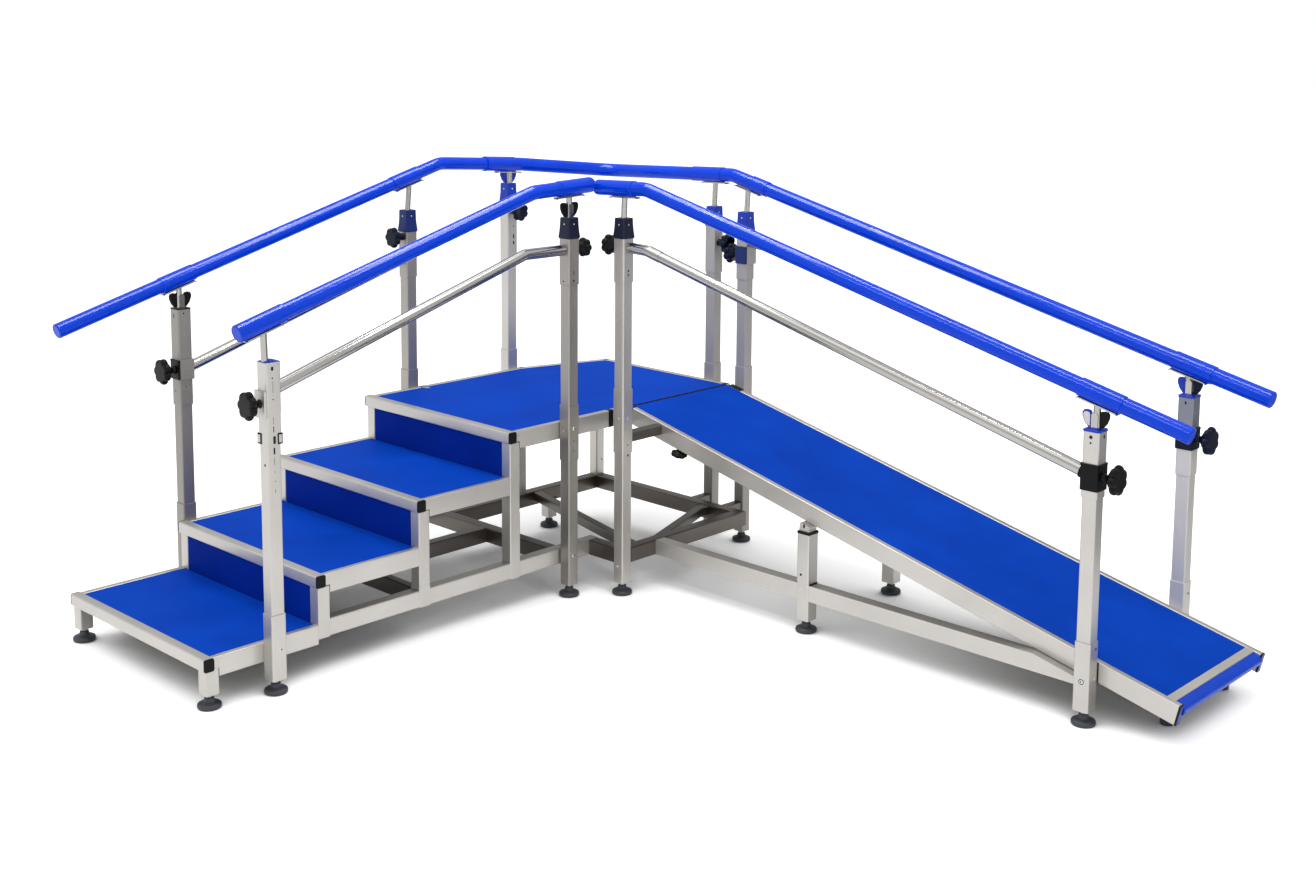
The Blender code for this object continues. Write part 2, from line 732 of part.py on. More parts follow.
ramp_slab("ramp_board", STAIR_NEAR_X + 0.006, BAR_X - 0.0005, "board", BOARD_DROP, BOARD_T)
lip = bmesh.new()
lip_width = (RAMP_NEAR_Y + RIM_W + board_gap, RAMP_FAR_Y - RIM_W - board_gap)
lip_top = ramp_point(BAR_X + 0.0255, 0.0, 0.002)
lip_edge = ramp_point(RAMP_END_X + 0.002, 0.0, 0.008)
lip_outline = [
    (lip_top[0], lip_top[2]),
    (lip_edge[0], lip_edge[2]),
    (lip_edge[0] + 0.004, lip_edge[2] - 0.008),
    (lip_edge[0] - 0.004, lip_edge[2] - 0.022),
    (lip_top[0] - 0.004, lip_top[2] - 0.017),
]
side_into(lip, lip_outline, *lip_width)
add_object("ramp_lip", mesh_from(lip, "ramp_lip"), "board")


# Handrails
def smooth_path(points, radius, steps=5):
    """The given corners with each inner one rounded to an arc."""
    points = [Vector(p) for p in points]
    path = [points[0]]
    for prev, here, after in zip(points, points[1:], points[2:]):
        into = (here - prev).normalized()
        out = (after - here).normalized()
        angle = into.angle(out)
        cutback = radius * math.tan(angle / 2)
        start = here - into * cutback
        end = here + out * cutback
        for k in range(steps + 1):
            t = k / steps
            path.append((1 - t) ** 2 * start + 2 * t * (1 - t) * here + t ** 2 * end)
    path.append(points[-1])
    return path


def tube_mesh(name, path, radius, resolution=6):
    """A round bar along a path, as a closed mesh."""
    curve = bpy.data.curves.new(name, "CURVE")
    curve.dimensions = "3D"
    curve.bevel_depth = radius
    curve.bevel_resolution = resolution
    curve.use_fill_caps = True
    spline = curve.splines.new("POLY")
    spline.points.add(len(path) - 1)
    for point, place in zip(spline.points, path):
        point.co = (*place, 1.0)
    return curve_mesh(name, curve)


def handrail(name, corners, sleeves, radius=RAIL_R):
    """A grip tube with thicker sleeves; each sleeve is a stretch of the path."""
    path = smooth_path(corners, 0.110)
    for end, inner in ((0, 1), (-1, -2)):
        if any((Vector(p) - path[end]).length < 0.001 for pair in sleeves for p in pair):
            path[end] = path[end] + (path[inner] - path[end]).normalized() * 0.003
    body = add_object(name, tube_mesh(name, path, radius), "grip")
    for k, (a, b) in enumerate(sleeves):
        mesh = tube_mesh(f"{name}_sleeve_{k}", [Vector(a), Vector(b)], radius + SLEEVE_OVER_RAIL)
        tool = hide_cutter(add_object(f"{name}_sleeve_{k}", mesh, None, cutters))
        cut(body, tool, "UNION").use_self = False
    return body


def on_line(a, b, axis, value):
    """The point of line a-b whose coordinate on an axis has the given value."""
    a = Vector(a)
    b = Vector(b)
    return a + (b - a) * ((value - a[axis]) / (b[axis] - a[axis]))


X2 = POSTS[2][0]
X1 = POSTS[1][0]
Y8 = POSTS[8][1]
LF_END = (X2, -1.301, 0.988)
LF_BEND = (X2, -0.275, 1.288)
LF_STOP = (X2, -0.030, 1.298)
RF_START = (-0.122, 0.0, 1.287)
RF_BEND = (0.090, 0.004, 1.294)
RF_END = (1.790, 0.161, 0.800)
LR_END = (X1, -1.413, 0.909)
LR_BEND = (X1, -0.020, 1.318)
RC_TURN_1 = (X1, 0.340, 1.297)
LR_STOP = tuple(on_line(LR_BEND, RC_TURN_1, 1, 0.180))
RC_TURN_2 = (-0.745, Y8, 1.2645)
RR_BEND = (-0.148, Y8, 1.284)
RC_STOP = tuple(on_line(RC_TURN_2, RR_BEND, 0, -0.330))
RR_START = RC_STOP
RR_END = (1.769, Y8, 0.803)
JOIN = 0.0003


def shifted(point, axis, by):
    out = list(point)
    out[axis] += by
    return tuple(out)


handrail(
    "handrail_front_stairs",
    [LF_END, LF_BEND, LF_STOP],
    [
        (LF_END, on_line(LF_END, LF_BEND, 1, -1.130)),
        (on_line(LF_BEND, LF_STOP, 1, -0.175), LF_STOP),
    ],
)
handrail(
    "handrail_front_ramp",
    [RF_START, RF_BEND, RF_END],
    [
        (RF_START, on_line(RF_START, RF_BEND, 0, 0.044)),
        (on_line(RF_BEND, RF_END, 0, 1.490), on_line(RF_BEND, RF_END, 0, 1.625)),
    ],
)
handrail(
    "handrail_rear_stairs",
    [LR_END, LR_BEND, shifted(LR_STOP, 1, -JOIN)],
    [
        (on_line(LR_END, LR_BEND, 1, -1.090), on_line(LR_END, LR_BEND, 1, -0.935)),
        (on_line(LR_END, LR_BEND, 1, -0.225), on_line(LR_END, LR_BEND, 1, -0.115)),
    ],
)
handrail(
    "handrail_rear_corner",
    [LR_STOP, RC_TURN_1, RC_TURN_2, shifted(RC_STOP, 0, -JOIN)],
    [
        (LR_STOP, on_line(LR_STOP, RC_TURN_1, 1, 0.315)),
    ],
    REAR_RAIL_R,
)
handrail(
    "handrail_rear_ramp",
    [RR_START, RR_BEND, RR_END],
    [
        (RR_START, on_line(RR_START, RR_BEND, 0, -0.190)),
        (on_line(RR_BEND, RR_END, 0, -0.060), on_line(RR_BEND, RR_END, 0, 0.010)),
        (on_line(RR_BEND, RR_END, 0, 1.488), on_line(RR_BEND, RR_END, 0, 1.603)),
    ],
    REAR_RAIL_R,
)


def rail_at(n):
    """The handrail's centre over a post, and the direction it runs there."""
    x, y = POSTS[n]
    spans = {
        1: (LR_END, LR_BEND, 1, y),
        2: (LF_END, LF_BEND, 1, y),
        3: (LR_END, LR_BEND, 1, y),
        4: (LR_STOP, RC_TURN_1, 1, y),
        5: (LF_BEND, LF_STOP, 1, y),
        6: (RF_START, RF_BEND, 0, x),
        7: (RR_START, RR_BEND, 0, x),
        8: (RR_BEND, RR_END, 0, x),
        9: (RF_BEND, RF_END, 0, x),
        10: (RR_BEND, RR_END, 0, x),
    }
    a, b, axis, value = spans[n]
    return on_line(a, b, axis, value), (Vector(b) - Vector(a)).normalized()


SADDLE_L = 0.075
SADDLE_W = 0.022
SADDLE_T = 0.005


def head_parts(n, frame):
    """A sliding sleeve on its post, with cap, rod and saddle."""
    x, y = POSTS[n]
    z0, z1 = SLEEVE_Z[n]
    if n in BOOTED:
        boot = z1 - 0.070
        frame.solid(bar((x, y, z0), (x, y, boot + 0.010), SOCKET, SOCKET))
        frame.solid(bar((x, y, boot), (x, y, z1), SOCKET + 0.003, SOCKET + 0.003))
        frame.solid(bar((x, y, boot - 0.004), (x, y, boot + 0.006), SOCKET + 0.009, SOCKET + 0.009))
    else:
        frame.solid(bar((x, y, z0), (x, y, z1), SOCKET, SOCKET))
    frame.hollow(bar((x, y, z0), (x, y, z1), SOCKET_BORE, SOCKET_BORE, 0.01, -0.008))
    if n in COLLAR:
        c0, c1 = COLLAR[n]
        frame.solid(bar((x, y, c0), (x, y, c1), SOCKET + 0.007, SOCKET + 0.007))
    centre, way = rail_at(n)
    side = way.cross(Vector((0.0, 0.0, 1.0))).normalized()
    up = side.cross(way)
    sleeve_r = SLEEVE_OVER_RAIL + (REAR_RAIL_R if n in (4, 7, 8, 10) else RAIL_R)
    middle = centre - up * (sleeve_r + GAP + SADDLE_T / 2)
    frame.solid(bar(middle - way * SADDLE_L / 2, middle + way * SADDLE_L / 2, SADDLE_W, SADDLE_T))
    frame.solid(rod((x, y, z1 - 0.006), (middle.x, middle.y, middle.z - 0.0012), ROD_R, 12))


def carriage(name, numbers, corners):
    """Two sleeves and the lower rail welded between them."""
    frame = Frame()
    for n in numbers:
        head_parts(n, frame)
    obj = welded(name, frame.outer, frame.inner)
    if corners:
        path = smooth_path(corners, 0.060, 4)
        tube_skin = tube_mesh(name + "_tube", path, MID_R, 4)
        bore_skin = tube_mesh(name + "_bore", path, MID_R - MID_WALL, 2)
        tube = hide_cutter(add_object(name + "_tube", tube_skin, None, cutters))
        bore = hide_cutter(add_object(name + "_bore", bore_skin, None, cutters))
        cut(obj, tube, "UNION")
        obj.modifiers.move(1, 0)
        cut(obj, bore)
    return obj


MID_LF = [(X2, POSTS[2][1] + 0.010, 0.828), (X2, -0.311, 1.103), (X2, POSTS[5][1] - 0.010, 1.103)]
MID_RF = [(0.010, 0.0, 1.110), (0.100, 0.004, 1.106), (POSTS[9][0] - 0.010, POSTS[9][1], 0.662)]
MID_LR = [(X1, POSTS[1][1] + 0.010, 0.742), (X1, POSTS[3][1] - 0.010, 1.005)]
MID_RR = [(POSTS[8][0] + 0.010, Y8, 1.060), (0.000, Y8, 1.050), (POSTS[10][0] - 0.010, Y8, 0.668)]
MID_LF[2] = (POSTS[5][0], MID_LF[2][1], MID_LF[2][2])
carriage("lower_rail_front_stairs", (2, 5), MID_LF)
carriage("lower_rail_front_ramp", (6, 9), MID_RF)
carriage("lower_rail_rear_stairs", (1, 3), MID_LR)
carriage("lower_rail_rear_ramp", (8, 10), MID_RR)
carriage("sleeve_4", (4,), None)
carriage("sleeve_7", (7,), None)

# Star knobs
LOBES = 7


def knob_mesh(radius, thickness, hub_r, hub_l):
    """A star grip on a hub: the hub stands at the origin and points along +Z.

    Its rings are lofted by hand, because they change from a circle to a star.
    """
    bm = bmesh.new()
    count = LOBES * 4
    outline = []
    for k in range(count):
        angle = 2 * math.pi * k / count
        swell = 0.87 + 0.13 * math.cos(LOBES * angle)
        outline.append((radius * swell * math.cos(angle), radius * swell * math.sin(angle)))
    inner = [(px * 0.86, py * 0.86) for px, py in outline]
    levels = [
        (inner, hub_l),
        (outline, hub_l + thickness * 0.3),
        (outline, hub_l + thickness * 0.75),
        (inner, hub_l + thickness),
    ]
    turns = [2 * math.pi * k / count for k in range(count)]
    hub = [(hub_r * math.cos(turn), hub_r * math.sin(turn)) for turn in turns]
    rings = []
    for z in (0.0, hub_l):
        rings.append([bm.verts.new((px, py, z)) for px, py in hub])
    for ring, z in levels:
        rings.append([bm.verts.new((px, py, z)) for px, py in ring])
    bm.faces.new(list(reversed(rings[0])))
    bm.faces.new(rings[-1])
    for a, b in zip(rings, rings[1:]):
        for k in range(count):
            n = (k + 1) % count
            bm.faces.new((a[k], a[n], b[n], b[k]))
    return mesh_from(bm, "knob")


KNOB_MESH = knob_mesh(KNOB_R, KNOB_T, 0.0125, 0.028)
for n in POSTS:
    x, y = POSTS[n]
    way = Vector(KNOB_WAY[n])
    reach = SOCKET / 2 + GAP
    if n in COLLAR:
        reach = (SOCKET + 0.007) / 2 + GAP
    knob = add_object(f"knob_{n}", KNOB_MESH.copy(), "black")
    knob.location = Vector((x, y, KNOB_Z[n])) + way * reach
    knob.rotation_euler = way.to_track_quat("Z", "Y").to_euler()
lock = add_object("ramp_lock_knob", knob_mesh(0.028, 0.015, 0.010, 0.012), "black")
lock_at = ramp_point(0.100, RAMP_NEAR_Y + half, RIM_H + GAP)
lock.location = lock_at
lock_way = Vector((-math.sin(RAMP_SLOPE), 0.0, -math.cos(RAMP_SLOPE)))
lock.rotation_euler = lock_way.to_track_quat("Z", "Y").to_euler()


# Levelling feet
def foot_mesh():
    """Profile turned about its axis: stem, cone and disc."""
    profile = [
        (0.0, FOOT_H + 0.030),
        (STEM_R, FOOT_H + 0.030),
        (STEM_R, 0.026),
        (0.0125, 0.024),
        (0.0160, 0.015),
        (FOOT_R - 0.003, 0.0115),
        (FOOT_R, 0.008),
        (FOOT_R, 0.0015),
        (FOOT_R - 0.002, 0.0),
        (0.0, 0.0),
    ]
    mesh = bpy.data.meshes.new("foot_profile")
    mesh.from_pydata([(r, 0.0, z) for r, z in profile], [(k, k + 1) for k in range(len(profile) - 1)], [])
    return mesh


FOOT_PLACES = {
    "foot_step_near": (NEAR_LEG_X, step_y(1) + 0.006 + POST / 2),
    "foot_step_far": (FAR_LEG_X, step_y(1) + 0.006 + POST / 2),
    "foot_2": POSTS[2],
    "foot_5": POSTS[5],
    "foot_6": POSTS[6],
    "foot_7": POSTS[7],
    "foot_8": POSTS[8],
    "foot_9": POSTS[9],
    "foot_10": POSTS[10],
    "foot_corner": (CORNER_LEG_X, stub_y),
    "foot_ramp_near": MID_LEGS["near"],
    "foot_ramp_far": MID_LEGS["far"],
}
for name, (x, y) in FOOT_PLACES.items():
    foot = add_object(name, foot_mesh(), "foot")
    foot.location = (x, y, 0.0)
    turn = foot.modifiers.new("turn", "SCREW")
    turn.steps = ROUND
    turn.render_steps = ROUND
    turn.use_merge_vertices = True
    turn.merge_threshold = 0.0001
    turn.use_normal_calculate = True

for obj in build.objects:
    if obj.name.startswith(("handrail", "foot", "knob", "ramp_lock")):
        for polygon in obj.data.polygons:
            polygon.use_smooth = True
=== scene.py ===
import json
import math

import bmesh
import bpy
from mathutils import Matrix, Vector

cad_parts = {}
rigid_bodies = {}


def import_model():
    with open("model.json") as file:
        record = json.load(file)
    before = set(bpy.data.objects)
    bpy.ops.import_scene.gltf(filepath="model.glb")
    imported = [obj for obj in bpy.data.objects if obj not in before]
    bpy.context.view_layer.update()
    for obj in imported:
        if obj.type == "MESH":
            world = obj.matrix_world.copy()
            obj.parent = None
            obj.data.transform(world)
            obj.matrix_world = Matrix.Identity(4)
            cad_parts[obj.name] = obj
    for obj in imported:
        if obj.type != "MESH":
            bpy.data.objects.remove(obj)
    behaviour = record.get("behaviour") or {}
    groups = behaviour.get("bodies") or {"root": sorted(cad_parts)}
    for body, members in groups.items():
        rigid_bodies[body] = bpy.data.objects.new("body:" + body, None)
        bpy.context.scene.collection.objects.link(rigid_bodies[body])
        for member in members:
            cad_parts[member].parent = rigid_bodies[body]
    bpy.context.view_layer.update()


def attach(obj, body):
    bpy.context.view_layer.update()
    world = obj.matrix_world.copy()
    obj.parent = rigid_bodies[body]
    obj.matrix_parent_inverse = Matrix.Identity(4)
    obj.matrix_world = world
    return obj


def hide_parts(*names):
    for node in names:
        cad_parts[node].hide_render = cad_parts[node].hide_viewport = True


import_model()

# Sizes shared with the CAD part, in metres
rise = 0.140
going = 0.350
deckZ = 4 * rise
stairNearX = -0.130
stairFarX = -0.850
nosingY = -1.411
legIn = 0.006
rampNearY = 0.160
rampFarY = 0.660
rampEndX = 1.794
rampEndZ = 0.114
rampSlope = math.atan2(deckZ - rampEndZ, rampEndX - stairNearX)
seamFarY = -0.130
seamNearY = 0.065
chamferFarY = 0.320
chamferTopX = -0.735
postSize = 0.040
socketSize = 0.045
rimW = 0.020
rimH = 0.055
noseD = 0.030
noseH = 0.035
baseW = 0.040
baseH = 0.050
baseTop = 0.150
baseZ = baseTop - baseH / 2
gap = 0.0003
footH = 0.038
boardDrop = 0.0015
railR = 0.0222
rearRailR = 0.0238
sleeveOver = 0.0023
midR = 0.01685
postHalf = postSize / 2
socketHalf = socketSize / 2
rimHalf = rimW / 2
nearLegX = stairNearX - postHalf
farLegX = stairFarX + postHalf
nearRimX = stairNearX - 0.0005 - rimHalf
farRimX = stairFarX + 0.0005 + rimHalf
farPostX = stairFarX - socketHalf
sideOff = socketHalf + gap
up = Vector((0.0, 0.0, 1.0))

# Each post: x, y, its sleeve's ends, its knob's height and direction, the body of its rail
postRows = {
    1: (farPostX, -1.020, 0.636, 0.933, 0.745, (0, -1, 0), "rear_rail"),
    2: (stairNearX + 0.0205, -1.208, 0.684, 0.906, 0.796, (0, -1, 0), "front_stair_rail"),
    3: (farPostX, -0.160, 0.940, 1.168, 1.078, (0, -1, 0), "rear_rail"),
    4: (farPostX, 0.292, 0.940, 1.232, 1.134, (1, 0, 0), "rear_rail"),
    5: (stairNearX + sideOff, -0.130, 0.995, 1.203, 1.105, (0, 1, 0), "front_stair_rail"),
    6: (0.0, 0.0, 1.000, 1.200, 1.112, (-1, 0, 0), "front_ramp_rail"),
    7: (-0.230, rampFarY + 0.0205, 0.940, 1.171, 1.045, (1, 0, 0), "rear_rail"),
    8: (-0.088, rampFarY + sideOff, 0.929, 1.162, 1.014, (-1, 0, 0), "rear_rail"),
    9: (1.545, rampNearY - sideOff, 0.604, 0.782, 0.659, (1, 0, 0), "front_ramp_rail"),
    10: (1.535, rampFarY + sideOff, 0.556, 0.782, 0.661, (1, 0, 0), "rear_rail"),
}
posts = {n: row[:2] for n, row in postRows.items()}
collars = {1: (0.716, 0.776), 2: (0.762, 0.830), 8: (0.984, 1.044), 9: (0.624, 0.694), 10: (0.630, 0.691)}


def stepZ(k):
    return rise * k


def stepY(k):
    return nosingY + going * (k - 1)


def legY(k):
    return stepY(k) + legIn + postHalf


def rampZ(x):
    """Height of the ramp's upper edge."""
    return deckZ - (x - stairNearX) * math.tan(rampSlope)


def underZ(x, down):
    """Height below the ramp's upper edge, on a level parallel to it."""
    return rampZ(x) - down / math.cos(rampSlope)


def rampPoint(x, y, down=0.0):
    """A point below the ramp's upper edge, square to the slope."""
    return Vector((x - math.sin(rampSlope) * down, y, rampZ(x) - math.cos(rampSlope) * down))


def onLine(a, b, axis, value):
    """The point of line a-b whose coordinate on an axis has the given value."""
    a = Vector(a)
    b = Vector(b)
    return a + (b - a) * ((value - a[axis]) / (b[axis] - a[axis]))


def camel(words):
    first, *others = words.split("_")
    return first + "".join(word.title() for word in others)


# Materials
def linear(text):
    """Linear colour of an sRGB hex text."""
    values = [int(text[k:k + 2], 16) / 255 for k in (1, 3, 5)]
    out = [v / 12.92 if v <= 0.04045 else ((v + 0.055) / 1.055) ** 2.4 for v in values]
    return (*out, 1.0)


def fill(node, inputs):
    """Sets a node's inputs: a socket is linked, anything else is its value."""
    for key, value in inputs.items():
        if isinstance(value, bpy.types.NodeSocket):
            node.id_data.links.new(value, node.inputs[key])
        else:
            node.inputs[key].default_value = value


def add(tree, kind, inputs, out=0, **settings):
    """Adds a node with its settings, values and links, and gives one of its outputs."""
    node = tree.nodes.new("ShaderNode" + kind)
    for key, value in settings.items():
        setattr(node, key, value)
    fill(node, inputs)
    return node.outputs[out] if node.outputs else None


def newMaterial(name, inputs):
    material = bpy.data.materials.new(name)
    material.use_nodes = True
    shader = material.node_tree.nodes["Principled BSDF"]
    fill(shader, inputs)
    return material, material.node_tree, shader


def newLook(name, colour, roughness, metallic=0.0, specular=0.5):
    """A material to be wired, with its tree, its shader and the object's own coordinates."""
    inputs = {"Base Color": linear(colour), "Roughness": roughness, "Metallic": metallic}
    material, tree, shader = newMaterial(name, {**inputs, "Specular IOR Level": specular})
    material.diffuse_color = linear(colour)
    return material, tree, shader, add(tree, "TexCoord", {}, "Object")


def wire(shader, tone, gloss, lighter, darker, low, high, relief, strength, depth):
    """A tone moves the colour, a second one the gloss, and a fine texture gives the relief."""
    tree = shader.id_data
    colours = {"Factor": tone, "A": linear(darker), "B": linear(lighter)}
    spread = {"Value": gloss, "From Min": 0.25, "From Max": 0.75, "To Min": low, "To Max": high}
    fill(shader, {
        "Base Color": add(tree, "Mix", colours, "Result", data_type="RGBA"),
        "Roughness": add(tree, "MapRange", spread),
        "Normal": add(tree, "Bump", {"Height": relief, "Strength": strength, "Distance": depth}),
    })


steelValues = {
    "lighter": "#CBC8C3", "darker": "#B3B0AB", "roughness": (0.30, 0.40),
    "grainAcross": 900.0, "grainAlong": 14.0, "grainDepth": 0.00006, "cloud": 5.0,
}


def steelLook(name, lighter, darker, roughness, metallic=1.0, drawn=True):
    """Stainless steel: fine grain along a drawn tube or even grain on a turned one, slow changes of tone."""
    material, tree, shader, own = newLook(name, lighter, roughness[0], metallic)
    across = steelValues["grainAcross"]
    grain = {"Vector": own, "Scale": across, "Detail": 2.0, "Roughness": 0.5}
    if drawn:
        size = (steelValues["grainAlong"], across, 1.0)
        lines = add(tree, "Mapping", {"Vector": add(tree, "TexCoord", {}, "UV"), "Scale": size})
        grain = {"Vector": lines, "Scale": 1.0, "Detail": 4.0, "Roughness": 0.6}
        tangent = add(tree, "Tangent", {}, direction_type="UV_MAP", uv_map="grain")
        fill(shader, {"Anisotropic": 0.35, "Tangent": tangent})
    grain = add(tree, "TexNoise", grain)
    cloud = {"Vector": own, "Scale": steelValues["cloud"], "Detail": 2.0, "Roughness": 0.5}
    cloud = add(tree, "Math", {0: add(tree, "TexNoise", cloud), 1: 0.55}, operation="MULTIPLY")
    blend = add(tree, "Math", {0: grain, 1: 0.45, 2: cloud}, operation="MULTIPLY_ADD")
    tone = add(tree, "MapRange", {"Value": blend, "From Min": 0.25, "From Max": 0.75})
    wire(shader, tone, blend, lighter, darker, *roughness, grain, 0.25, steelValues["grainDepth"])
    return material


# Brushed stainless steel: soft satin tone with fine lines along each tube
brushedSteel = steelLook(
    "brushedStainless", steelValues["lighter"], steelValues["darker"], steelValues["roughness"], 0.7
)
# The same steel, a little rougher, painted a tone darker as painted shade, on the posts round the corner platform
steelPaintedShade = steelLook("stainlessPaintedShade", "#A9A59F", "#938F89", (0.34, 0.44), 0.8)
# The same steel painted two tones darker as painted shade, on the rear post beside the steps
steelPaintedDeepShade = steelLook("stainlessPaintedDeepShade", "#9A9690", "#86827C", (0.34, 0.44), 0.65)
# Dull stainless steel of the far posts: hardly mirrors the blue boards
dullSteel = steelLook("dullStainless", "#B4B1AC", "#9E9B96", (0.46, 0.56), 0.4)
# The same steel painted a tone lighter as painted light, on the post by the ramp's far side
steelPaintedLight = steelLook("stainlessPaintedLight", "#DAD7D2", "#C6C3BE", (0.46, 0.56), 0.4)
# The same steel painted blue-grey as a painted reflection of the blue grip, on the sleeve that stands in the grip's
# reflection
steelPaintedReflection = steelLook("stainlessPaintedReflection", "#8E909A", "#7C7E8A", (0.40, 0.50), 0.6)
# Tube in the shade below the platform: dark brown-grey
shadeSteel = steelLook("shadedStainless", "#6A6662", "#55514E", (0.46, 0.56))
# Polished stainless steel: narrow bright bands on the round rails and rods
polishedSteel = steelLook("polishedStainless", "#ACAAA6", "#A2A09B", (0.09, 0.13), 1.0, False)
# Stainless tube under the steps, painted darker than the brushed tube as painted shade
steelPaintedUnderShade = steelLook("stainlessPaintedUnderShade", "#75706B", "#5F5B57", (0.30, 0.40))
# Zinc-plated bolts and nuts: bright, small highlights
zinc = steelLook("zincPlated", "#D6D6D4", "#BEBEBC", (0.22, 0.34), 1.0, False)


def plasticLook(name, colour, darker, roughness, grain, depth, specular=0.5):
    """Moulded plastic: fine orange-peel grain and slight changes of gloss."""
    material, tree, shader, own = newLook(name, colour, roughness, 0.0, specular)
    cloud = add(tree, "TexNoise", {"Vector": own, "Scale": 9.0, "Detail": 2.0, "Roughness": 0.55})
    fine = add(tree, "TexNoise", {"Vector": own, "Scale": grain, "Detail": 3.0, "Roughness": 0.55})
    wire(shader, cloud, cloud, colour, darker, roughness - 0.03, roughness + 0.04, fine, 0.2, depth)
    return material


# Extruded gloss PVC cover of the grips: smooth, with sharp window-like bands
gripBlue = plasticLook("gripPvc", "#0044E0", "#003CCC", 0.10, 160.0, 0.00004, 0.16)
# Injection-moulded blue caps: a little duller than the grips
capBlue = plasticLook("capPolypropylene", "#0B3CBE", "#0831A4", 0.32, 500.0, 0.00008, 0.3)
# Injection-moulded navy boots: nearly black in the shade
bootNavy = plasticLook("bootPolypropylene", "#0E2A72", "#0A1F56", 0.36, 500.0, 0.00008, 0.25)
# The same boots in a darker navy, on the two inner posts
bootDark = plasticLook("bootPolypropyleneDark", "#151C38", "#0F1428", 0.36, 500.0, 0.00008, 0.25)
# Injection-moulded black nylon of knobs, collars and end caps: fine matt grain
moulded = plasticLook("mouldedNylon", "#131314", "#0C0C0D", 0.34, 700.0, 0.00010, 0.12)
# The same nylon in blue-black, on the knobs and collars at the far side
knobNavy = plasticLook("mouldedNylonNavy", "#0C1530", "#080E20", 0.34, 700.0, 0.00010, 0.12)
# Film-faced plywood under the vinyl: dull dark brown
plywood = plasticLook("filmPlywood", "#403A36", "#2F2A27", 0.55, 90.0, 0.00010)
# Moulded rubber of the feet: dull, slightly blue-grey
rubber = plasticLook("footRubber", "#3A3E45", "#2E3137", 0.52, 420.0, 0.00016)
# Unlit bore behind a punched hole
bore = plasticLook("holeShade", "#17181A", "#0E0F10", 0.9, 300.0, 0.00005)
# Rolled vinyl edge at the ramp's foot: smoother and brighter
lipVinyl = plasticLook("edgeVinyl", "#0848CE", "#063CB8", 0.34, 240.0, 0.00006, 0.2)

vinylValues = {"colour": "#0946BC", "darker": "#063AA6", "roughness": 0.55, "pimple": 1100.0, "depth": 0.00012}


def vinylLook(name, colour, darker, roughness):
    """Anti-slip vinyl: tiny pebbled grain, slow worn patches."""
    material, tree, shader, own = newLook(name, colour, roughness, 0.0, 0.01)
    cloud = add(tree, "TexNoise", {"Vector": own, "Scale": 4.0, "Detail": 4.0, "Roughness": 0.55})
    tone = add(tree, "MapRange", {"Value": cloud, "From Min": 0.25, "From Max": 0.75})
    cells = add(tree, "TexVoronoi", {"Vector": own, "Scale": vinylValues["pimple"]})
    low, high = roughness - 0.04, roughness + 0.05
    wire(shader, tone, cloud, colour, darker, low, high, cells, 0.35, vinylValues["depth"])
    return material


# Calendered anti-slip vinyl of the treads, platform and ramp
boardVinyl = vinylLook("treadVinyl", vinylValues["colour"], vinylValues["darker"], vinylValues["roughness"])
# The same vinyl on the risers, darker in their shade
riserVinyl = vinylLook("riserVinyl", "#052F9C", "#042684", 0.52)
print("materials ready")


# Building blocks
def newMesh():
    bm = bmesh.new()
    bm.loops.layers.uv.new("grain")
    return bm


def newObject(name, data):
    obj = bpy.data.objects.new(name, data)
    bpy.context.scene.collection.objects.link(obj)
    return obj


def finish(name, bm, materials, body, slot, *nodes, angle=40.0, weighted=True):
    """Makes the object, shades it, and ties it to its body and CAD nodes; the slot is not used."""
    mesh = bpy.data.meshes.new(name)
    bm.to_mesh(mesh)
    bm.free()
    for material in materials:
        mesh.materials.append(material)
    mesh.shade_smooth()
    mesh.set_sharp_from_angle(angle=math.radians(angle))
    obj = newObject(name, mesh)
    if weighted:
        obj.modifiers.new("even", "WEIGHTED_NORMAL").keep_sharp = True
    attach(obj, body)
    if nodes:
        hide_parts(*nodes)


def at(x, y, z=0.0):
    return Matrix.Translation((x, y, z))


def frameOf(x, y, z, place):
    """A placing matrix from its three local axes and its origin."""
    turn = Matrix((x, y, z)).transposed().to_4x4()
    turn.translation = place
    return turn


def zFrame(place, way):
    """Places local Z along a direction."""
    turn = Vector(way).to_track_quat("Z", "Y").to_matrix().to_4x4()
    turn.translation = place
    return turn


def frontFrame(x, y):
    """Stands a flat outline upright, with its local Z toward the stairs' foot."""
    return at(x, y) @ Matrix.Rotation(math.pi / 2, 4, "X")


def faceFrame(centre, face, half, across, z):
    """Local Z out of a post's -y or +x face, with local Y up."""
    x, y = centre
    if face == "y":
        return frameOf((1, 0, 0), (0, 0, 1), (0, -1, 0), (x + across, y - half, z))
    return frameOf((0, 1, 0), (0, 0, 1), (1, 0, 0), (x + half, y + across, z))


def bevel(part, geom, offset, segments, affect="EDGES"):
    bmesh.ops.bevel(part, geom=geom, offset=offset, segments=segments, profile=0.5, affect=affect,
                    material=-1, clamp_overlap=True)


def join(bm, part, place, material=0):
    """Moves a part into place and adds it to a mesh."""
    bmesh.ops.transform(part, matrix=place, verts=part.verts)
    bmesh.ops.recalc_face_normals(part, faces=part.faces)
    for face in part.faces:
        face.material_index = material
    mesh = bpy.data.meshes.new("part")
    part.to_mesh(mesh)
    part.free()
    bm.from_mesh(mesh)
    bpy.data.meshes.remove(mesh)


def alongGrain(part, steep, flat, point):
    """UV in metres for the steel's grain, by which of two axes a face looks along."""
    uv = part.loops.layers.uv["grain"]
    for face in part.faces:
        sideways = abs(face.normal[steep]) > abs(face.normal[flat])
        for loop in face.loops:
            loop[uv].uv = point(loop.vert.co, sideways)


